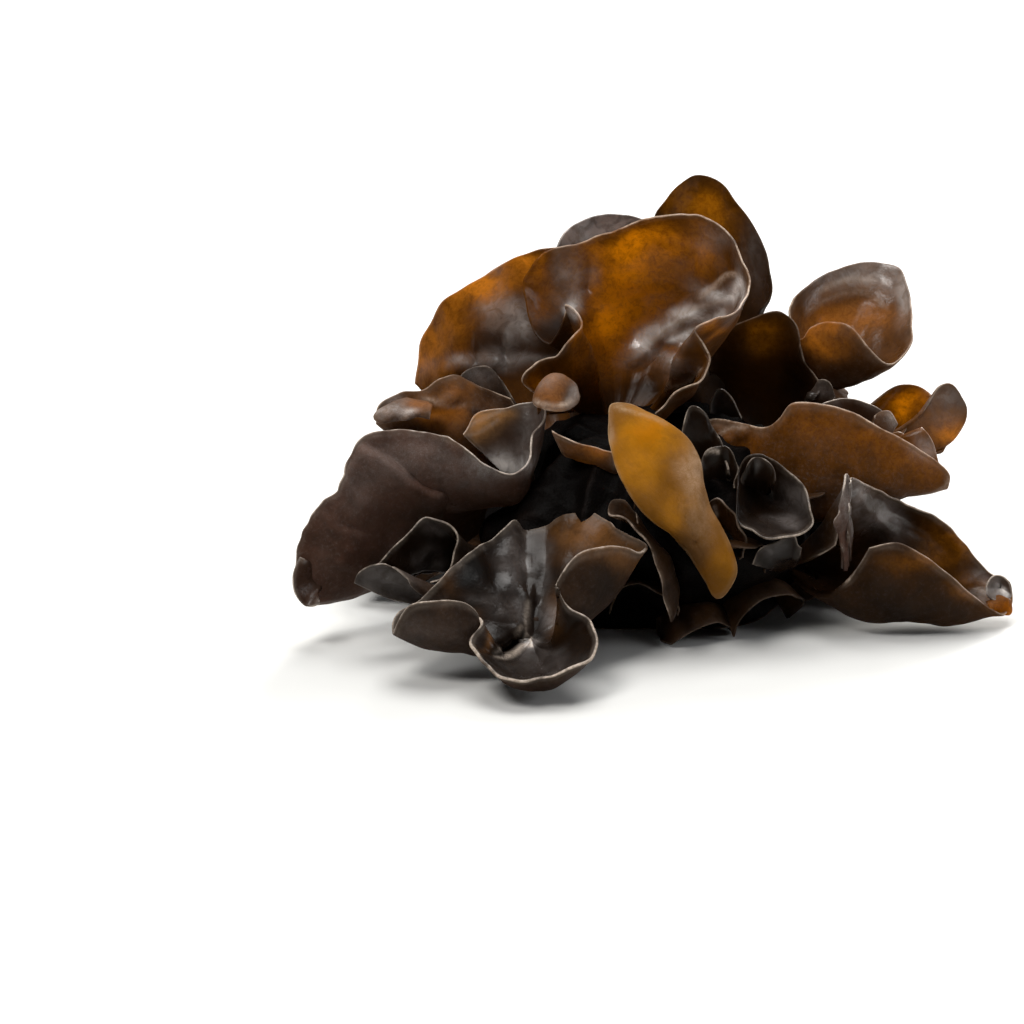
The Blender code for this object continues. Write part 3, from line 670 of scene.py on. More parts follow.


# The ears of the front. A rib is (across, up, back) at the rim, and the share of the bulge it takes where
# that isn't 1. A patch of painted glow, painted sheen or painted shade is (across, up, half width, half
# height, strength).
frontBowl = {
    "node": "ear_front_bowl", "look": "black", "foot": (-30.5, -10, -50), "closed": True,
    "bulge": (0, -8, -3), "waist": 0.62, "stalk": (-20, 4, -24), "thickRim": 0.9, "cell": 0.6,
    "gather": 0.25, "gatherSize": 22, "wave": 0.5, "waveSize": 24,
    "ribs": [
        (-65.3, -8, -61, 0.7), (-64.3, -3, -57, 0.6), (-57.8, 0.8, -53, 0.3), (-50.3, 8.3, -48, 0.2),
        (-44.8, 12.8, -43, 0.2), (-39, 16.5, -38, 0.2), (-35.5, 19.8, -34, 0.2),
        (-32.5, 17.3, -32, 0.3), (-27.3, 18.3, -31, 0.3), (-23, 20.5, -31, 0.3), (-17, 22.5, -33, 0.3),
        (-12, 20.5, -36, 0.3), (-8, 17, -42, 0.4), (-3, 14.8, -45.5, 0.6), (-1.2, 12.4, -49.5, 0.8),
        (-3.2, 11.6, -53, 0.9), (-8, 13.3, -57), (-14.3, 13.3, -61, 1.1), (-19.3, 11.3, -63),
        (-23, 6.8, -63, 0.7), (-23.8, 2.5, -62, 0.5), (-20.8, -2, -63, 0.4), (-16.5, -4.5, -66, 0.4),
        (-14.3, -10, -72, 0.4), (-15.5, -15, -76, 0.7), (-21, -18.4, -79, 0.9), (-27, -20.2, -80, 0.95),
        (-34, -19.5, -80, 0.95), (-39.5, -17.6, -78, 0.8), (-43.5, -14.5, -75, 0.6),
        (-45.3, -10, -70, 0.6), (-43.5, -5, -65, 0.7), (-47, -1, -65, 0.9), (-53.8, 0, -68, 1.1),
        (-61.5, -1.8, -67, 1.1),
    ],
    "neck": {"flare": 0, "high": 3.6, "short": 3.2},
    "folds": [
        fold([(-37, 16), (-36, 8), (-37, 0), (-38, -6)], 4, 1.5),
        fold([(-30.5, 15), (-29.5, 6), (-30, -2)], 2.6, 1),
        fold([(-21, 12), (-24, 4), (-26, -3), (-29, -9)], 3, 1.2),
        fold([(-43, -13.5), (-39, -11), (-35.5, -8), (-32.5, -5)], 5, 1.5, steep=0.3),
        fold([(-39, -13), (-36.5, -12), (-33.8, -9.6)], 1.7, -4, power=4),
        fold([(-31.5, -10), (-31.8, -5), (-31.3, 0), (-31, 5)], 3.5, 1.3, steep=0.3),
    ],
    "streaks": [
        ([(-41, -13.6), (-38.5, -12), (-35.5, -9.5), (-33, -6.5)], 0.35),
        ([(-41, -14), (-38, -14.8), (-35, -14), (-32.5, -12), (-30, -12)], 0.6),
        ([(-31.8, 0), (-32.3, -6), (-32.3, -11)], 0.25), ([(-31, -9.5), (-30.5, -12.5)], 0.9),
    ],
    "glow": [
        (-16, 17, 13, 9, 0.55), (-7, 10, 11, 8, 0.3), (-50, 7, 6, 8, 0.35), (-24, -5, 3, 7, 0.25),
        (-42.3, -9, 1.3, 6, 0.3),
    ],
    "paintedSheen": [
        (-35, 10, 4, 11, 0.15), (-27, 8, 3, 10, 0.08), (-36, -4, 6, 5, 0.1), (-30.5, -12, 3.5, 3, 0.4),
        (-26, -5, 3, 4, 0.2), (-57, -8, 14, 6, 0.12), (-24, -17, 12, 4, 0.08), (-43, 0, 6, 3, 0.06),
    ],
    "deep": [
        (-47, 8, 9, 12, 1), (-13, 6, 9, 7, 0.6), (-29, -5, 2, 7, 0.5), (-33.8, -9.8, 1.6, 2.4, 1),
        (-36.2, -12, 2.6, 1.7, 1), (-38.8, -13.2, 2.2, 0.9, 0.9),
    ],
}
bigFold = {
    "node": "ear_big_fold", "look": "mauve", "foot": (-36, 26, -10), "footWidth": 0, "footShare": 0.22,
    "bulge": (-2, -10, -4), "waist": 0.72, "scallop": 0.2, "scallopSize": 4, "cell": 0.65,
    "ribs": [
        (-48, 41.5, -12, 0), (-43.5, 46.8, -11, 0), (-37.5, 48, -10, 0), (-31.5, 49.5, -11, 0),
        (-27.3, 49, -15, 0.2), (-28.3, 43.5, -23, 0.4), (-31.3, 36.3, -30, 0.4),
        (-35.3, 31.5, -33, 0.4), (-41, 33.3, -35, 0.45), (-49.5, 39.5, -36, 0.65),
        (-59.8, 42.3, -36, 0.9), (-67.3, 42.5, -36, 0.9), (-73.5, 40.5, -37, 0.8),
        (-77, 33.5, -38, 0.7), (-79, 27.5, -40, 0.6), (-85.5, 21.8, -41, 0.6), (-88.8, 13.8, -40, 0.6),
        (-89.8, 6.3, -38, 0.6), (-88.3, 0.5, -34, 0.5), (-84, -1, -28, 0.3),
    ],
    "folds": [
        fold([(-52, 25), (-59, 27.5), (-67, 34), (-74, 38)], 5, 3, steep=0.2, wall="outside", fade=0.12),
        fold([(-62, 22), (-66, 14), (-68, 6)], 6, -1.6, wall="outside"),
        fold([(-76, 18), (-79, 8)], 4, 1.4, wall="outside"),
    ],
    "streaks": [
        ([(-48.3, 41.5), (-45.5, 44), (-41, 46), (-37, 48)], 0.35),
        ([(-47.5, 40.8), (-43, 42.5), (-38.5, 45.5)], 0.3),
    ],
    "glow": [(-44, 43.5, 7, 4.5, 1), (-41, 46, 8, 3, 0.7)],
    "paintedSheen": [
        (-62, 36, 22, 8, 0.1), (-37, 34.5, 9, 3.5, 0.9), (-44, 31, 18, 5, 0.07), (-31, 43, 6, 9, 0.08),
        (-75, 28, 8, 10, 0.05),
    ],
    "deep": [
        (-58, 13, 15, 12, 0.3), (-48, 20.5, 13, 3.5, 1), (-44, 14, 9, 8, 1), (-72, 6, 14, 8, 0.2),
        (-33, 45, 6, 5, 0.4), (-45.5, 38, 1.2, 5, 0.8),
    ],
}
upperLeft = {
    "node": "ear_upper_left", "look": "rust", "foot": (-23, 34, 14), "bulge": (0, -3, 12),
    "waist": 0.55, "rimLight": 0.1, "backPaintedSheen": 0.25, "ruffle": 0.2, "scallop": 0.08,
    "ribs": [
        (-60.3, 54, -7), (-59.5, 61.3, -4), (-57, 67.5, -2), (-51.8, 74.8, 1), (-43.8, 80.5, 4),
        (-35.8, 85.5, 6), (-29.8, 87.5, 4), (-24.5, 87.8, 8), (-17.3, 87.5, 12), (-13.5, 77.5, 14),
    ],
    "folds": [
        fold([(-54, 55.5), (-45, 59.5), (-36, 60)], 2.5, 2.2), fold([(-46, 64), (-36, 64)], 5, -2.5),
        fold([(-38, 84), (-39, 76), (-38, 69)], 4, 1.6),
    ],
    "glow": [
        (-56, 62, 12, 15, 0.8), (-44, 79, 18, 10, 0.8), (-30, 84, 12, 7, 0.7), (-50, 70, 11, 10, 0.5),
    ],
    "paintedSheen": [
        (-39, 76, 4, 9, 0.4), (-37.5, 70, 8, 7, 1), (-46, 58.5, 12, 3, 0.4), (-35, 60.5, 9, 2.5, 0.4),
    ],
    "deep": [(-37, 63.5, 10, 4, 0.8), (-26, 62, 8, 10, 0.9), (-24, 72, 6, 12, 0.5)],
}
crown = {
    "node": "ear_crown", "look": "amber", "foot": (-9, 43.8, 4), "bulge": (5, 1, 8), "waist": 0.7,
    "cell": 0.65, "ruffle": 0.25, "scallopSize": 4,
    "ribs": [
        (-31, 52, -14, 0.1), (-33.3, 55.5, -17, 0.1), (-29.5, 58.5, -19, 0.1), (-23.5, 60.8, -20, 0.2),
        (-18.8, 65.5, -18, 0.3), (-17, 69.5, -15, 0.3), (-19.5, 73.3, -13, 0.2), (-22, 74, -10, 0.2),
        (-23.5, 68, -8.5, 0.1), (-26.5, 63.5, -7, 0.1), (-30, 67, -5.5, 0.3), (-31.5, 74, -5, 0.5),
        (-31.5, 80, -5, 0.6), (-29, 86, -4, 0.6), (-24.5, 88.3, -3, 0.6), (-16.5, 89.8, -4, 0.7),
        (-7.3, 93.5, -6, 0.9), (2.8, 96.5, -8), (11.5, 96.8, -10), (18.5, 92, -13), (22.8, 84.5, -17),
        (23.5, 77.5, -23, 1.1), (20.5, 73.3, -29), (15, 70.8, -33, 0.3), (10, 68, -34, -0.4),
        (11.3, 64.3, -33, 0.2), (13.3, 59.5, -31, 0.8), (11.5, 54, -31, 0.7), (5.5, 51.3, -30, 0.5),
        (0, 46.8, -27, 0.3),
    ],
    "folds": [
        fold(
            [(-6.5, 58), (-3.5, 62.5), (1, 66.5), (6, 70), (12, 73), (19, 75)],
            3.5, 2.6, steep=0.7, fade=0.2,
        ),
        fold([(22, 81.5), (18.5, 80.5), (15, 77.5), (10.5, 74.5)], 5, 1.8, steep=0.18),
        fold([(-16, 89), (-16, 82), (-17, 76)], 1.6, -1.4), fold([(2, 61), (5, 57), (6, 52)], 4, 2),
        fold([(3, 53), (9.8, 55.8), (12.3, 60)], 1, 1, steep=0.5),
        fold([(-2, 95), (-6, 86), (-4, 76)], 7, -1.5),
    ],
    "streaks": [
        ([(11.5, 75), (15.3, 78), (18.5, 81), (22, 81.5)], 0.5),
        ([(4, 53.3), (9.8, 55.8), (12.3, 58.5)], 0.6), ([(-1, 64), (4, 68.5), (10, 71.5)], 0.5),
        ([(5, 70), (12, 73.5), (19, 75.5)], 0.4),
    ],
    "glow": [
        (-6, 84, 20, 15, 0.8), (-2, 75, 16, 10, 0.45), (-11, 67, 14, 13, 1), (13.5, 84.5, 5, 6, 0.6),
        (4.5, 62, 4, 2.5, 0.9), (-30, 84, 4, 10, 0.45), (-28, 74, 6, 10, 0.4), (-30, 55, 6, 4, 0.6),
        (4, 91, 16, 7, 0.4), (-12, 57, 10, 8, 0.35), (-6, 88, 5, 5, 0.3), (14, 68.5, 7, 3, 0.5),
    ],
    "paintedSheen": [
        (-21, 82, 7, 11, 0.12), (18, 76, 6, 3, 0.8), (11.5, 71.8, 8, 2.6, 1), (4.5, 68.2, 7, 3, 1),
        (-3, 63.5, 4, 5, 0.9), (14, 90, 10, 5, 0.1), (5, 59, 7, 5, 0.14), (-20, 74, 2.5, 3, 0.8),
        (21, 79, 2.5, 6, 0.8), (12, 79, 4, 3, 0.1),
    ],
    "deep": [
        (-12, 50, 12, 7, 0.6), (-2, 51, 8, 5, 0.8), (4, 49, 10, 5, 0.5), (-23, 66, 5, 7, 0.9),
        (18, 87, 6, 9, 0.6), (-27, 66, 8, 9, 0.97), (-21.5, 72, 2, 4, 0.9), (-17.5, 78, 2, 8, 0.3),
    ],
    "rimDim": [(-30, 79, 6, 14, 1), (-27, 67, 6.5, 7, 1)],
}
topRight = {
    "node": "ear_top_right", "slot": "flesh_brown", "look": "umber", "foot": (11.5, 38, 18),
    "bulge": (0, 0, 8), "rimLight": 0.05, "thickRim": 0.45, "ruffle": 0.15,
    "scallop": 0.05, "gather": 0.1,
    "ribs": [
        (0.3, 91.3, 16), (2.3, 98, 17), (5.3, 103.3, 19), (10.3, 106.3, 20), (16, 104.8, 19),
        (21, 99.3, 17), (25.5, 92, 15), (28.8, 84.5, 13), (29.5, 78, 12), (26.5, 73, 12),
    ],
    "glow": [(12, 99, 11, 11, 0.7), (17, 90, 10, 14, 0.4), (4, 98, 5, 7, 0.4)],
    "paintedSheen": [(26, 87, 6, 16, 0.08)],
}
topBack = {
    "node": "ear_top_back", "look": "black", "foot": (-10, 34, 24), "bulge": (0, -2, 8),
    "rimLight": 0.05, "backPaintedSheen": 0.5, "ruffle": 0.15, "scallop": 0.08,
    "ribs": [
        (-26.5, 84.5, 20), (-23.5, 90, 23), (-18.5, 94.3, 26), (-11.5, 96.5, 28), (-4.8, 96, 29),
        (0.3, 93.5, 28), (3.5, 88.8, 26),
    ],
    "glow": [(-21, 91, 5, 5, 0.3)], "paintedSheen": [(-10, 92, 22, 12, 0.8)],
}
darkMiddle = {
    "node": "ear_dark_middle", "look": "umber", "foot": (21.5, 37.5, 4), "bulge": (0, -2, 8),
    "rimLight": 0.3, "ruffle": 0.2,
    "ribs": [
        (13.5, 60, 5), (16.5, 66.5, 4), (22.5, 69.5, 1), (30, 72, -1), (33.5, 70.5, 0), (36.3, 66.5, 1),
        (37.8, 62.5, 1), (39, 58.5, 1), (41.5, 55, 0), (44.8, 53, -1), (45.8, 50, -3),
    ],
    "glow": [(26, 66, 12, 8, 0.55)], "deep": [(30, 54, 16, 12, 0.9)],
}
rightCup = {
    "node": "ear_right_cup", "look": "rust", "foot": (43.5, 54.5, 12), "closed": True,
    "bulge": (-2, -4, 3), "stalk": (30, 32, 22), "rimLight": 0.8, "ruffle": 0.15,
    "scallop": 0.1, "gather": 0.1,
    "ribs": [
        (33, 72, 10), (36.5, 77, 16), (42.5, 81.3, 21), (49, 83.8, 24), (56.5, 84.5, 25),
        (62.3, 82, 23), (64, 75, 17), (64.5, 66.3, 9), (62.3, 61.5, 3), (58.5, 59.3, 0),
        (54.5, 63.3, 0), (50.3, 68, 0), (45.3, 69.8, 1), (39.5, 68.3, 4), (36.5, 65.5, 7),
    ],
    "neck": {"low": 5.5, "high": 4, "flare": 2.5},
    "folds": [fold([(36, 70), (44, 76), (54, 77.5), (60, 72)], 2.5, 1.2)],
    "streaks": [
        ([(37, 71), (44, 75.5), (53, 76.5), (59, 72)], 0.3), ([(40, 76.5), (48, 80), (56, 80)], 0.25),
    ],
    "glow": [(41, 66, 10, 9, 0.6), (54, 69.5, 13, 6, 0.5), (46, 72, 9, 5, 0.3), (50, 64, 10, 6, 0.25)],
    "paintedSheen": [(50, 81, 20, 6, 0.17), (63, 77, 3, 12, 0.22)],
    "deep": [(50, 58, 12, 7, 0.7), (46, 53, 8, 5, 0.9)], "rimDim": [(50, 83, 24, 10, 1)],
}
rightBack = {
    "node": "ear_right_back", "look": "amber", "foot": (38, 28, 8), "bulge": (0, -3, 6),
    "rimLight": 0.3,
    "ribs": [
        (53.5, 46.3, 4), (54.8, 49.5, 6), (58.5, 52.3, 8), (63.5, 53.5, 9), (68.5, 51.8, 8),
        (71, 47.5, 5),
    ],
    "glow": [(62, 49, 10, 7, 0.8)], "deep": [(54, 48, 5, 5, 0.8)],
}
rightLobe = {
    "node": "ear_right_lobe", "look": "rust", "foot": (40, 19, 2), "footWidth": 10, "bulge": (0, 0, 1),
    "rimLight": 0.4,
    "ribs": [
        (61.5, 40.5, -4), (64.5, 46, -4), (69, 50.5, -4), (74, 54.3, -4), (77.3, 50.5, -3),
        (78.3, 47, -2), (76.5, 42, -1), (73, 38.5, 0), (69, 36, 1),
    ],
    "glow": [(73, 42.5, 7, 6, 1)], "paintedSheen": [(72, 50, 9, 6, 0.1)],
}
longAmber = {
    "node": "ear_long_amber", "look": "amber", "foot": (22, 32.5, -14), "bulge": (3, -14, -1),
    "waist": 0.7, "wave": 0.5, "ruffle": 0.2,
    "ribs": [
        (12.3, 45.3, -20, 0.2), (17, 45.3, -22, 0.4), (22.8, 44, -24, 0.7), (27.8, 43.2, -26, 0.9),
        (31.5, 45.5, -28), (34.5, 49.3, -29), (41.5, 49.2, -29, 1.1), (49, 47.3, -29, 1.1),
        (56.5, 43.3, -28), (64, 39.3, -26, 0.9), (70.3, 35, -23, 0.7), (73.6, 31.8, -21, 0.5),
        (73.2, 28.5, -18.5, 0.4), (72, 31.5, -16, 0.3), (70.3, 37.5, -15, 0.1), (68, 42.3, -15, 0),
        (65, 41, -14, 0), (61, 42, -13, 0),
    ],
    "folds": [
        fold([(14, 44), (18, 40), (21, 36)], 1.4, 1.4, wall="outside"),
        fold([(14, 36), (18, 39.5), (24, 43)], 1.4, 1.4, wall="outside"),
        fold([(34, 46), (44, 42), (56, 36), (66, 30)], 5, -1.2, wall="outside"),
    ],
    "streaks": [
        ([(73.5, 31.5), (73.3, 29.2), (71.3, 27.6), (69, 26.8), (63, 26.3)], 0.5),
        ([(15, 40), (19, 43), (24, 43)], 0.4),
    ],
    "glow": [(38, 44, 14, 9, 0.4), (54, 39, 18, 10, 0.4), (66, 33, 11, 8, 0.3), (22, 40, 9, 6, 0.35)],
    "paintedSheen": [(68, 38, 4, 5, 0.2)], "deep": [(44, 26, 24, 5, 0.6), (19, 34, 6, 4, 0.7)],
}
amberTongue = {
    "node": "ear_amber_tongue", "look": "tongue", "foot": (10.5, 14, -49), "closed": True,
    "bulge": (0, 0, -2), "waist": 0.5, "stalk": (13, 9, -30), "ruffle": 0.12, "gather": 0, "wave": 0.25,
    "scallop": 0.1, "rimLight": 0.8,
    "ribs": [
        (15.7, 0.2, -44), (13.2, 5, -46), (9, 11, -49), (2.7, 17.5, -51), (-3.5, 23, -52),
        (-8, 29.5, -51), (-10.5, 36.3, -49), (-11.5, 43, -46), (-11, 48.8, -43), (-6, 49, -42),
        (1.5, 45.5, -43), (7.8, 41, -44), (11.3, 35.5, -44), (12.5, 28.5, -45), (14.8, 22, -46),
        (18.5, 15, -46), (20.2, 8.5, -45), (18.8, 2.8, -44),
    ],
    "neck": {"low": 4, "high": 2.4, "flare": 0, "fold": 0.2, "short": 1.6},
    "folds": [
        fold([(-9.5, 46.5), (-4, 46), (1.5, 44)], 1.2, 1, steep=0.6),
        fold([(9, 39), (10, 30), (10, 20), (14, 12)], 4, 1.5),
    ],
    "streaks": [([(-10.5, 48.3), (-5, 46.8), (0, 45.3), (3.5, 43.3)], 0.4)],
    "glow": [(-2, 41, 10, 10, 1), (-5, 30, 6, 12, 0.3), (6, 22, 7, 10, 0.3), (17, 10, 6, 10, 0.2)],
    "paintedSheen": [(9.5, 33, 4.5, 12, 0.6), (12, 22, 4, 10, 0.3), (-11, 42, 1.5, 10, 0.5)],
    "deep": [(8, 12, 7, 10, 0.8), (-4, 25, 5, 5, 0.4)],
}
darkCup = {
    "node": "ear_dark_cup", "look": "black", "foot": (30, 24, -32), "closed": True, "bulge": (0, -1, 1),
    "stalk": (22, 22, -16), "rimLight": 0.8, "cell": 0.6,
    "ribs": [
        (21.5, 33, -38), (23.5, 36.3, -38), (27, 37, -38), (30.5, 35.5, -39), (33.5, 33, -40),
        (36, 30.5, -41), (38, 27, -42), (39.5, 23, -43), (40, 19.5, -44), (37.5, 17.3, -46),
        (33.5, 16.3, -47), (29, 16.5, -48), (25, 18, -47), (21.5, 20, -45), (20, 26, -41),
    ],
    "neck": {"low": 4, "high": 2.6, "flare": 0, "short": 2},
    "paintedSheen": [(36, 25, 5, 8, 0.14), (32, 18.5, 6, 2, 0.2)], "deep": [(25, 28, 6, 8, 0.9)],
    "rimDim": [(24, 34, 8, 6, 0.9), (20, 25, 5, 8, 1), (26, 17, 6, 4, 0.4)],
}
lowerRight = {
    "node": "ear_lower_right", "look": "umber", "foot": (36, 8, -17), "footWidth": 0, "footShare": 0.22,
    "bulge": (0, -10, -2), "waist": 0.65, "gather": 0.3,
    "ribs": [
        (46, 13.8, -40, 0.1), (47, 23.8, -42, 0.2), (48.5, 30.3, -42, 0.3), (52.5, 29.3, -36, 0.3),
        (57, 27.3, -30, 0.2), (64.5, 23.3, -24, 0), (72, 19.8, -20, 0.2), (78.3, 13.3, -17, 0.3),
        (83.5, 7.3, -15, 0.3), (88.5, 4.3, -14, 0.3), (89.5, -1.5, -18, 0.3), (86, -3.3, -24, 0.5),
        (80.3, 0.8, -29, 0.8), (74, 6.3, -33), (67.8, 11, -36), (61.5, 13.8, -38), (54, 13, -38, 0.8),
    ],
    "folds": [
        fold([(50, 28), (54, 22), (60, 16)], 2.4, 1.8),
        fold([(54, 29), (60, 23), (68, 16), (76, 9)], 3, -1.5),
    ],
    "streaks": [([(81, 5.5), (84, 3.5), (87, 2)], 0.5), ([(80, 3), (83, 1.5), (86, 1)], 0.4)],
    "glow": [(86, 0, 5, 5, 0.8), (75, 15, 14, 8, 0.55), (66, 10, 14, 5, 0.5), (79, 3, 8, 4, 0.4)],
    "paintedSheen": [(51, 27, 5, 6, 0.35), (57, 20, 7, 6, 0.3), (83, 4, 5, 3, 0.5)],
    "deep": [(64, 16, 12, 5, 0.5), (62, -2, 18, 6, 0.6), (41, 18, 6, 13, 1)],
}
leftCup = {
    "node": "ear_left_cup", "look": "black", "foot": (-38, 11, -19), "bulge": (2, -5, 2), "waist": 0.65,
    "rimLight": 0.6,
    "ribs": [
        (-71, 8, -44, 0.6), (-67.5, 11.3, -43, 0.5), (-63.5, 15, -41, 0.4), (-57.3, 20.8, -37, 0.3),
        (-51.8, 18, -37, 0.3), (-49.8, 15, -38, 0.3), (-50.3, 10.5, -39, 0.3), (-53, 6.5, -39, 0.2),
        (-56, 4.3, -40, 0.1),
    ],
    "paintedSheen": [(-57, 9, 4, 6, 0.2), (-54, 19, 6, 3, 0.15)],
}
leftLip = {
    "node": "ear_left_lip", "look": "black", "foot": (-31, 5, -19), "footWidth": 9,
    "bulge": (0, -5, -3), "waist": 0.7, "rimLight": 0.7,
    "ribs": [
        (-75, 4.5, -46), (-74.3, 6.8, -47), (-72, 8.5, -48), (-69.5, 9.6, -49), (-66, 9.4, -49),
        (-63.5, 7, -49), (-60.5, 4, -48), (-57, 1.5, -46),
    ],
    "paintedSheen": [(-67, 5, 13, 8, 0.14)],
}
leftSmall = {
    "node": "ear_left_small", "look": "rust", "foot": (-26, 35, 4), "bulge": (-2, -8, -4),
    "waist": 0.65, "rimLight": 0.9, "gather": 0.5,
    "ribs": [
        (-69.3, 44, -16, 0.6), (-69, 48.5, -15, 0.6), (-63.5, 51.8, -13, 0.6), (-58.5, 52.5, -12, 0.6),
        (-53.5, 55.5, -10, 0.6), (-48.5, 56.3, -7, 0.4), (-44.8, 53.8, -4, 0.3), (-39.8, 52, -3, 0.2),
        (-36, 50.5, -2, 0.2),
    ],
    "folds": [
        fold([(-60, 50), (-54, 49), (-48, 51)], 1.6, 1.2, wall="outside"),
        fold([(-66, 44), (-58, 45), (-52, 44)], 1.4, 1.2, wall="outside"),
    ],
    "streaks": [([(-58, 50.5), (-54.5, 49.3), (-51, 48.3), (-47, 48.8)], 0.4)],
    "glow": [(-52, 46, 10, 4, 1), (-50, 53, 8, 4, 0.5)], "paintedSheen": [(-66, 49, 6, 4, 0.2)],
    "deep": [(-61, 43, 8, 2.2, 1), (-44, 46, 5, 3, 0.9)],
}
edgeMiddle = {
    "node": "ear_edge_middle", "look": "umber", "foot": (0, 8, -33), "bulge": (3, 0, -2),
    "rimLight": 0.8,
    "ribs": [
        (-7.3, 25, -40, 0.2), (-10.5, 25, -42, 0.5), (-11.5, 21.8, -44, 0.8), (-8.5, 21, -46),
        (-4.8, 18.8, -48), (-1.5, 15, -50), (1, 10, -51), (2, 5, -51), (2.8, 0, -50),
        (3.3, -5.5, -47, 0.5),
    ],
    "deep": [(4, 5, 8, 16, 0.4)],
}
smallUpright = {
    "node": "ear_small_upright", "look": "black", "foot": (14, 30, -26), "bulge": (0, 0, -2),
    "rimLight": 0.8,
    "ribs": [
        (6.5, 33.8, -36), (7, 42.5, -35), (9, 48.5, -34), (12.5, 47, -33), (14.5, 43.5, -32),
        (17.5, 38.5, -33), (18.5, 32.5, -35),
    ],
}
middleBud = {
    "node": "bud_middle", "look": "black", "foot": (18, 34, 0), "footWidth": 7, "bulge": (0, 0, -1),
    "rimLight": 0.5,
    "ribs": [(14.5, 47, -12), (15, 51.5, -12), (17, 52.8, -12), (20, 50, -12), (21.8, 45.5, -12)],
    "paintedSheen": [(17, 49, 4, 5, 0.15)],
}
amberBud = {
    "node": "bud_amber", "look": "rust", "foot": (-24.5, 46.5, -13), "footWidth": 9,
    "bulge": (-0.5, 8.5, -3), "rimLight": 1.2, "ruffle": 0.15,
    "ribs": [
        (-30.3, 49.5, -24, 0.45), (-29.3, 48.3, -27, 0.75), (-26.5, 47.3, -29), (-23, 47, -29),
        (-20.3, 48.3, -27, 0.75), (-19, 50.5, -24, 0.45),
    ],
    "folds": [fold([(-22.5, 56), (-22, 52), (-22.5, 48.5)], 1.5, -1.2, wall="outside")],
    "streaks": [([(-30, 50.3), (-27.5, 48.7), (-24, 48.3), (-20.5, 49.9)], 0.7)],
    "glow": [(-26, 52, 6, 6, 0.7), (-25, 47, 5, 2, 0.6)],
    "paintedSheen": [(-27, 54, 5, 2, 0.15), (-20, 53, 2, 5, 0.3)], "deep": [(-21.5, 51, 2, 4, 0.7)],
}
shelf = {
    "node": "ear_shelf", "look": "rust", "foot": (-14, 35.5, -20), "bulge": (0, -4, -3),
    "rimLight": 1.3,
    "ribs": [(-25.3, 42.5, -30), (-19.8, 39.5, -33), (-14, 37.8, -35), (-9.8, 37, -34)],
    "glow": [(-14, 36.5, 8, 3, 0.8)], "deep": [(-22, 34.5, 6, 3, 1), (-13, 31, 7, 2.5, 1)],
}

frontEars = {
    "frontBowl": frontBowl, "bigFold": bigFold, "upperLeft": upperLeft, "crown": crown,
    "topRight": topRight, "topBack": topBack, "darkMiddle": darkMiddle, "rightCup": rightCup,
    "rightBack": rightBack, "rightLobe": rightLobe, "longAmber": longAmber, "amberTongue": amberTongue,
    "darkCup": darkCup, "lowerRight": lowerRight, "leftCup": leftCup, "leftLip": leftLip,
    "leftSmall": leftSmall, "edgeMiddle": edgeMiddle, "smallUpright": smallUpright,
    "middleBud": middleBud, "amberBud": amberBud, "shelf": shelf,
}
for name, ear in frontEars.items():
    addHandEar(name, ear)
print("front ears made:", len(frontEars))

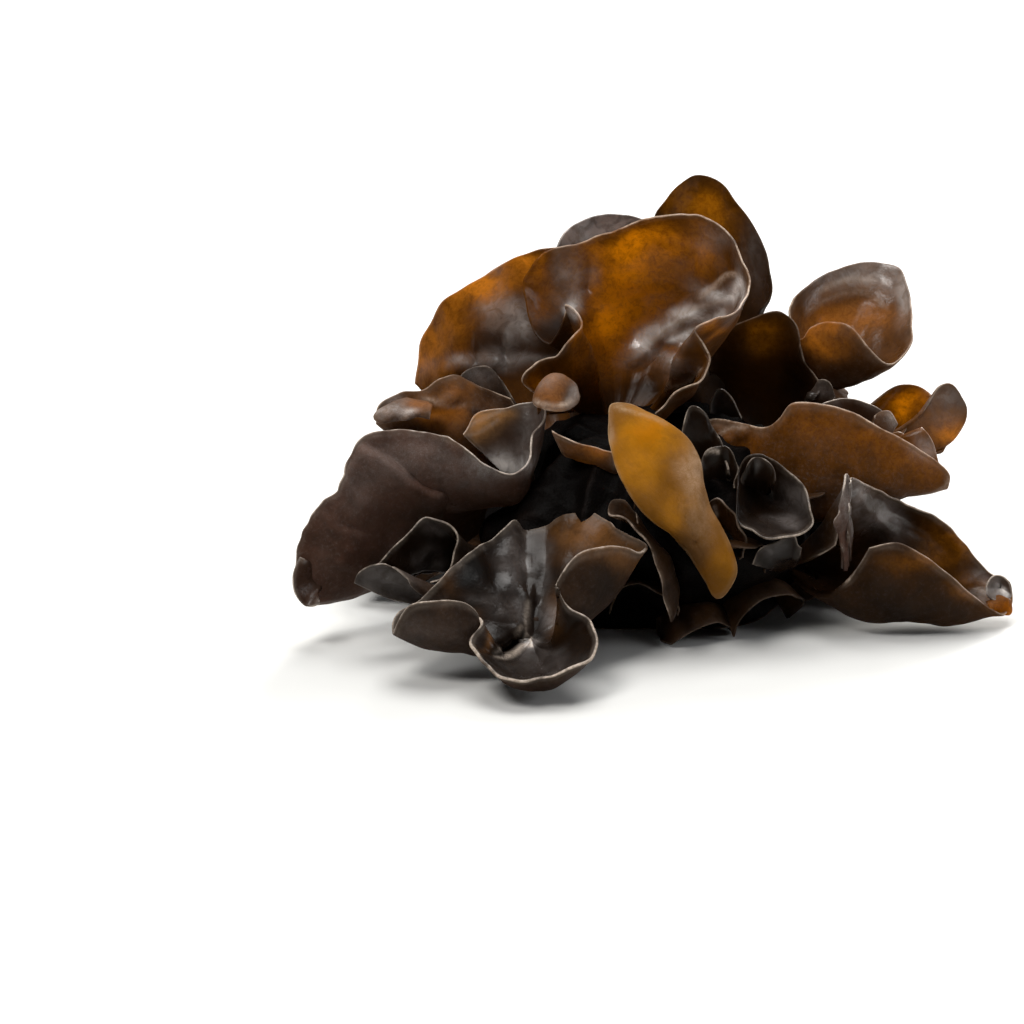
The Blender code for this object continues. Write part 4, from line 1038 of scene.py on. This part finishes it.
smallForm = {
    "node": "base", "slot": "flesh_base", "bulge": (0, 0, -1.5), "footWidth": 6, "cell": 0.6,
    "ruffle": 0.5, "ruffleSize": 6, "scallop": 0.2, "rimLight": 0.7,
}
# their patches paint sheen and glow, as on the front ears
smallEars = {  # little ears in the gaps, which grow from the base too
    "pinkFlap": {
        "look": "rust", "foot": (-59, 49.5, -15), "footWidth": 8, "bulge": (0, 0.5, -2.5),
        "rimLight": 1,
        "ribs": [
            (-68.5, 47.3, -18), (-69.3, 44.8, -20), (-65, 44.3, -21), (-60, 44.8, -21),
            (-56, 45.3, -20),
        ],
        "glow": [(-58, 47.5, 6, 2.5, 0.6)], "paintedSheen": [(-66, 46, 5, 3, 0.3), (-61, 46, 4, 1.2, 0.5)],
    },
    "foldRoll": {
        "node": "ear_big_fold", "slot": "flesh_brown", "look": "mauve", "foot": (-84, 6, -33),
        "rimLight": 1,
        "ribs": [
            (-88.3, 11, -40), (-90, 6, -41), (-89.8, 1.8, -41), (-87, -0.8, -41), (-83.5, -0.6, -41),
        ],
    },
    "crumple": {
        "look": "black", "foot": (18, 26, -26), "rimLight": 0.3,
        "ribs": [
            (11, 27, -37), (11.5, 33, -37), (13.5, 38, -36), (18, 38.5, -35), (20.5, 34, -34),
            (20, 28, -34),
        ],
        "streaks": [
            ([(12, 36.8), (14, 37.4), (16.5, 37)], 0.7),
            ([(18.3, 32.5), (18.8, 30.5), (17.5, 28.5)], 0.7),
        ],
    },
    "nestedCup": {
        "look": "black", "foot": (26, 26, -31), "rimLight": 0.3,
        "ribs": [(22.5, 29, -39), (23, 33.5, -39), (26, 35.8, -39), (29.5, 34, -40), (30.5, 30, -41)],
        "paintedSheen": [(26, 33, 3, 2, 0.1)],
    },
    "streakedLeaf": {
        "look": "umber", "foot": (18, 12, -30), "rimLight": 0.3,
        "ribs": [
            (12.5, 23.5, -40), (15.8, 25.5, -41), (20, 22, -42), (22.8, 16, -42), (22.3, 10.5, -41),
        ],
        "streaks": [([(14.8, 24), (15.5, 21.8), (14.3, 19.5)], 0.5)],
    },
    "underLeaf": {
        "look": "black", "foot": (33, 8, -30), "rimLight": 0.5,
        "ribs": [(24.5, 9, -41), (26.5, 12.5, -43), (30.5, 15, -45), (35, 16.3, -45), (37, 13, -43)],
        "paintedSheen": [(30, 13, 4, 3, 0.12)],
    },
    "twistedStrip": {
        "node": "ear_lower_right", "slot": "flesh_dark", "look": "mauve", "foot": (48, 8, -38),
        "rimLight": 1, "footWidth": 2, "ruffle": 0.6, "ruffleReach": 2,
        "ribs": [
            (46.6, 15.5, -43), (46.2, 21, -44), (47, 27, -44), (48, 31.5, -43), (49.2, 30.3, -42.5),
            (48.7, 24, -43), (48.3, 18, -43),
        ],
        "paintedSheen": [(48, 26, 4, 8, 0.2)],
    },
    "tipHood": {
        "node": "ear_lower_right", "slot": "flesh_dark", "look": "mauve", "foot": (86.5, 3, -14),
        "closed": True, "bulge": (0, 0, 0), "rimLight": 0.7,
        "ribs": [
            (83.5, 5.5, -19), (86.5, 6.3, -18), (89, 4.5, -17.5), (90, 2, -17.5), (89, 0, -18.5),
            (86, -0.3, -20), (83.5, 1, -21), (82.5, 3.5, -20),
        ],
        "paintedSheen": [(85.5, 2.8, 2.6, 2, 0.9)],
    },
    "tipGold": {
        "node": "ear_lower_right", "slot": "flesh_dark", "look": "amber", "foot": (84.5, 0.5, -19),
        "footWidth": 4, "ribs": [(90, 0, -19), (90, -3.5, -20), (87.5, -4, -21), (84.5, -3.5, -22)],
        "glow": [(87, -2, 5, 5, 1)],
    },
    "innerFold": {
        "look": "umber", "foot": (4, 8, -29),
        "ribs": [(-5, 22.8, -37), (-3, 19, -43), (0, 14.5, -45.5), (2.8, 8.5, -46.5), (4.3, 1, -45)],
    },
    "cupBump": {
        "look": "black", "foot": (38, 44, 2),
        "ribs": [(39.5, 51, -4), (41, 54.8, -5), (43.5, 55, -5), (45.5, 51, -4)],
        "paintedSheen": [(42.5, 54, 4, 3, 0.25)],
    },
    "stripAbove": {
        "look": "mauve", "foot": (46, 36, -12),
        "ribs": [(42, 49, -21), (48, 50.8, -20), (54, 49.3, -19), (58.5, 46, -18)],
    },
    "knob": {
        "look": "rust", "foot": (50, 32, -12),
        "ribs": [(54.5, 43, -20), (55.8, 46.8, -20), (58.8, 47, -20), (60.8, 44, -19)],
        "paintedSheen": [(57.5, 46, 3, 3, 0.3)],
    },
    "greyLeaf": {
        "look": "black", "foot": (-32, 40, 4),
        "ribs": [(-49.5, 53, -2), (-47, 57.3, -2), (-42, 58.3, -1), (-38, 55, -1)],
        "paintedSheen": [(-44, 56, 6, 4, 0.3)],
    },
}
for name, ear in smallEars.items():
    addHandEar(name, {**smallForm, **ear})
print("small ears made:", len(smallEars))

# The ears of the far side are fans round the base. The bearing, rise and half spread are in degrees.
fanParts = ("bearing", "rise", "foot", "reach", "spread", "cup", "waves")
farForm = {
    "ribs": 11, "wave": 3.2, "reachWave": 0.05, "sidesShorter": 0.28, "bulge": 0.6, "footInside": 0.86,
    "waist": 0.55, "rimLight": 0.7,
}
farEars = {
    "farEar1": ("umber", (8, 0, 7, 40, 40, 5, 3)), "farEar2": ("mauve", (54, 8, 13, 48, 42, 8, 3)),
    "farEar3": ("amber", (90, 14, 23, 50, 46, 4, 4)), "farEar4": ("mauve", (128, 8, 12, 50, 42, 8, 3)),
    "farEar5": ("umber", (172, 4, 9, 42, 38, 6, 3)), "farEar6": ("rust", (152, 9, 22, 36, 42, 3, 3)),
}


def baseWidth(height):  # how wide the base is at a height, beside a plain half ball
    return 1 - baseShape["undercut"] * (1 - smoothStep(height, 0, baseShape["undercutHeight"]))


def farLine(fan, waveHeight):  # the foot and the rim of a fan whose rim is an arc with waves
    spec = dict(zip(fanParts, fan))
    bearing, rise, spread = (math.radians(spec[key]) for key in ("bearing", "rise", "spread"))
    half = baseShape["half"]
    out = np.array([math.cos(bearing) * math.cos(rise), math.sin(bearing) * math.cos(rise), math.sin(rise)])
    side = np.array([-math.sin(bearing), math.cos(bearing), 0])
    face = np.cross(out, side)
    roundBase = math.hypot(math.cos(bearing) / half[0], math.sin(bearing) / half[1])
    heightShare = math.sqrt(1 - (spec["foot"] / half[2]) ** 2)
    inside = farForm["footInside"] * heightShare * float(baseWidth(spec["foot"])) / roundBase
    foot = [math.cos(bearing) * inside, baseShape["back"] + math.sin(bearing) * inside, spec["foot"]]
    foot = np.array(foot)
    line = []
    for turn in np.linspace(-1, 1, farForm["ribs"]):
        angle = turn * spread
        wave = math.sin(turn * math.pi * spec["waves"] + spec["bearing"])
        reach = spec["reach"] * (1 - farForm["sidesShorter"] * abs(turn) ** 3 + farForm["reachWave"] * wave)
        lift = waveHeight * wave + spec["cup"] * turn**2
        rim = foot + reach * (math.cos(angle) * out + math.sin(angle) * side) - lift * face
        line.append([*rim, *(farForm["bulge"] * spec["cup"] * face)])
    return foot, line


for number, (name, (look, fan)) in enumerate(farEars.items(), 1):
    foot, line = farLine(fan, farForm["wave"])
    ear = {"node": f"ear_far_{number}", "look": look, "footPoint": foot, "line": line}
    ear.update({key: farForm[key] for key in ("waist", "rimLight")})
    addEar(name, ear, 400 + number)
print("far ears made:", len(farEars))

baseLook = {
    "lumps": 5, "lumpHeight": 0.05, "lumpTurn": 3, "fold": 2.0, "foldSize": 17, "rings": 110, "spokes": 220,
    # the skin is the base's own dark flesh, darkened further as painted shade for the gaps between the ears;
    # the lighter colour paints the fold crests lighter than the creases, a painted shade in the creases, and
    # also marks random spots
    "skinAndShade": (0.0015, 0.001, 0.0008), "ridge": (0.006, 0.003, 0.002), "cut": (0.30, 0.19, 0.11),
    "cutEdge": (0.10, 0.055, 0.035), "cutRings": 14, "roughness": 0.5, "bump": 0.5, "bumpHeight": 0.8,
    "ridgeGrain": 3, "spotSize": 1.8, "cutGrain": 2.4, "lumpSize": 1.5, "fineSize": 0.4, "shine": 0.03,
    # dents (place, size, depth) make room for the insides of three ears
    "dents": [((-38, 34, -14), 12, 10), ((30, 22, -28), 9, 6), ((-6, 47, -18), 15, 9)],
}


def ringFaces(outerRow, innerRow):
    return np.stack([outerRow, innerRow, np.roll(innerRow, -1), np.roll(outerRow, -1)], axis=-1)


def baseMesh():
    around = np.linspace(0, 2 * math.pi, baseLook["spokes"] + 1)[:-1]
    angle, rise = np.meshgrid(around, np.linspace(math.pi / 2, 0, baseLook["rings"]))
    z = np.sin(rise)
    swell = np.sin(baseLook["lumps"] * angle + baseLook["lumpTurn"] * z) * (1 - z * z)
    swell = (1 + baseLook["lumpHeight"] * swell) * baseWidth(z * baseShape["half"][2])
    ball = np.stack([np.cos(rise) * np.cos(angle), np.cos(rise) * np.sin(angle), z], axis=-1)
    points = ball * np.array(baseShape["half"])
    points[..., :2] *= swell[..., None]
    flat = points * (1, 1, 0.45)  # folds run up and down more than round
    ridges = 1 - np.abs(ripples(flat, baseLook["foldSize"], 71))
    fine = 1 - np.abs(ripples(flat, baseLook["foldSize"] * 0.4, 72))
    ridges = ridges * 0.7 + fine * 0.25
    points = points + ball * (baseLook["fold"] * ridges * smoothStep(points[..., 2], 0, 4))[..., None]
    for place, size, depth in baseLook["dents"]:
        away = np.linalg.norm(points - upright(place), axis=2) / size
        points = points - ball * (depth * np.exp(-(away**2)))[..., None]
    points[..., 1] += baseShape["back"]
    centre = np.array([0, baseShape["back"], 0])
    shares = np.linspace(1, 0, baseLook["cutRings"] + 1)[1:, None, None]
    disc = centre + (points[-1] - centre) * shares
    everyPoint = np.concatenate([points.reshape(-1, 3), disc.reshape(-1, 3)])
    rows = np.arange(len(everyPoint)).reshape(-1, baseLook["spokes"])
    rows[0], rows[-1] = rows[0, 0], rows[-1, 0]
    faces = np.concatenate([ringFaces(rows[k], rows[k + 1]) for k in range(len(rows) - 1)])
    ridges = np.concatenate([ridges.ravel(), np.zeros(disc.shape[:2]).ravel()])
    return meshFrom("baseKnot", everyPoint, faces, {"ridge": ridges})


def basePaint():
    paint = newPaint("baseSkinAndShade")
    place = paint.position()
    # painted shade: the crests of the folds are painted lighter than the creases, and random spots take the
    # lighter colour too
    ridge = paint.value("ridge") + paint.noise(place, baseLook["ridgeGrain"]) * 0.4
    ridge = paint.ramp(ridge, 0.6, 1.4)
    spots = paint.ramp(paint.noise(place, baseLook["spotSize"], 5, 0.7), 0.5, 0.75)
    colour = paint.mix(ridge * 0.7 + spots * 0.2, baseLook["skinAndShade"], baseLook["ridge"])
    height = paint.node("ShaderNodeSeparateXYZ", {}, {0: place}, "Z")
    cutMask = 1 - paint.ramp(height, 0.05, 0.4)
    grain = paint.ramp(paint.noise(place, baseLook["cutGrain"], 5, 0.65, 1.5), 0.35, 0.7)
    colour = paint.mix(cutMask, colour, paint.mix(grain, baseLook["cutEdge"], baseLook["cut"]))
    lumps = paint.noise(place, baseLook["lumpSize"], 5, 0.65)
    lumps = lumps + paint.noise(place, baseLook["fineSize"], 2) * 0.3
    sockets = {
        "Base Color": colour, "Roughness": baseLook["roughness"] + cutMask * 0.3,
        "Normal": paint.bumps(baseLook, lumps), "Specular IOR Level": baseLook["shine"],
    }
    return paint.finish(paint.principled(sockets))


addPiece("baseKnot", baseMesh(), [basePaint()], "base")

innerForm = {
    "node": "base", "slot": "flesh_base", "look": "umber", "cell": 0.8, "thickFoot": 1.4, "footWidth": 14,
    "waist": 0.5, "rimLight": 0.2, "rimWave": 1.3,
}
innerEars = [  # small inner ears on the base, between the large ones
    (-72, 8, 3, 17, 55, 7, 1), (-44, 16, 6, 17, 52, 8, 1), (-95, 22, 10, 15, 50, 5, 1),
    (-62, 30, 19, 14, 52, 5, 2), (-85, 45, 33, 14, 50, 5, 1), (-90, 62, 42, 12, 52, 4, 2),
    (-150, 15, 8, 16, 50, 5, 1), (-22, 35, 28, 11, 50, 4, 2), (-4, 10, 4, 15, 55, 4, 1),
    (30, 30, 30, 15, 50, 4, 2), (70, 55, 40, 15, 52, 5, 2), (110, 5, 4, 17, 52, 6, 2),
    (32, 4, 4, 17, 50, 6, 1), (112, 40, 34, 15, 52, 5, 2), (160, 40, 32, 15, 50, 5, 2),
]
for number, fan in enumerate(innerEars, 1):
    foot, line = farLine(fan, innerForm["rimWave"])
    addEar(f"innerEar{number}", {**innerForm, "footPoint": foot, "line": line}, 500 + number)
print("base made")

studio = {
    "floorSize": 8, "floor": (0.52, 0.52, 0.51),
    "skyTop": (0.40, 0.41, 0.42), "skyFront": (0.02, 0.02, 0.02), "skyStrength": 0.9,
}
lights = {  # in metres, each aimed at a height
    "keySoft": {"place": (-0.7, -0.75, 1.5), "aim": 0.04, "size": 0.7, "power": 24, "tint": (1, 0.98, 0.95)},
    "topSoft": {"place": (0.1, 0.35, 1.6), "aim": 0.05, "size": 1.2, "power": 30, "tint": (1, 0.99, 0.97)},
    "backSoft": {"place": (0.5, 1.3, 0.9), "aim": 0.06, "size": 0.8, "power": 34, "tint": (1, 0.97, 0.92)},
    "sideSoft": {"place": (1.5, -0.3, 0.7), "aim": 0.05, "size": 0.7, "power": 8, "tint": (0.97, 0.98, 1)},
}


def addFloor():
    size = studio["floorSize"] / 2
    mesh = bpy.data.meshes.new("floor")
    corners = [(-size, -size, 0), (size, -size, 0), (size, size, 0), (-size, size, 0)]
    mesh.from_pydata(corners, [], [(0, 1, 2, 3)])
    paint = newPaint("floorPaper")
    paper = paint.principled({"Base Color": (*studio["floor"], 1), "Roughness": 0.8})
    mesh.materials.append(paint.finish(paper))
    floor = addObject("floor", mesh)


def addLight(name, spec):
    lamp = bpy.data.lights.new(name, "AREA")
    lamp.shape = "DISK"
    lamp.size = spec["size"]
    lamp.energy = spec["power"]
    lamp.color = spec["tint"]
    light = addObject(name, lamp)
    light.location = spec["place"]
    aim = Vector((0, 0, spec["aim"])) - Vector(spec["place"])
    light.rotation_euler = aim.to_track_quat("-Z", "Y").to_euler()


def addSky():  # pale above and behind, dim in front, so that wet flesh mirrors little
    sky = Paint(bpy.data.worlds.new("studioSky"))
    way = sky.node("ShaderNodeTexCoord", out="Generated")
    parts = {axis: sky.node("ShaderNodeSeparateXYZ", {}, {0: way}, axis) for axis in ("Y", "Z")}
    share = sky.ramp(parts["Z"] + parts["Y"] * 0.5, -0.2, 1.1)
    sockets = {"Color": sky.mix(share, studio["skyFront"], studio["skyTop"])}
    background = sky.node("ShaderNodeBackground", {}, {**sockets, "Strength": studio["skyStrength"]})
    bpy.context.scene.world = sky.finish(background, "World")


def addCamera():
    view = bpy.data.cameras.new("camera")
    view.sensor_width = 36
    view.lens = view.sensor_width * eye["distance"] / eye["frameWidth"]
    view.clip_end = 20
    camera = addObject("camera", view)
    back = Vector(toEye)
    camera.location = (Vector(turned((eye["across"], eye["up"], 0))) + back * eye["distance"]) * mm
    camera.rotation_euler = (-back).to_track_quat("-Z", "Y").to_euler()
    bpy.context.scene.camera = camera


addFloor()
for name, spec in lights.items():
    addLight(name, spec)
addSky()
addCamera()
bpy.context.scene.view_settings.view_transform = "Standard"
print("studio ready")
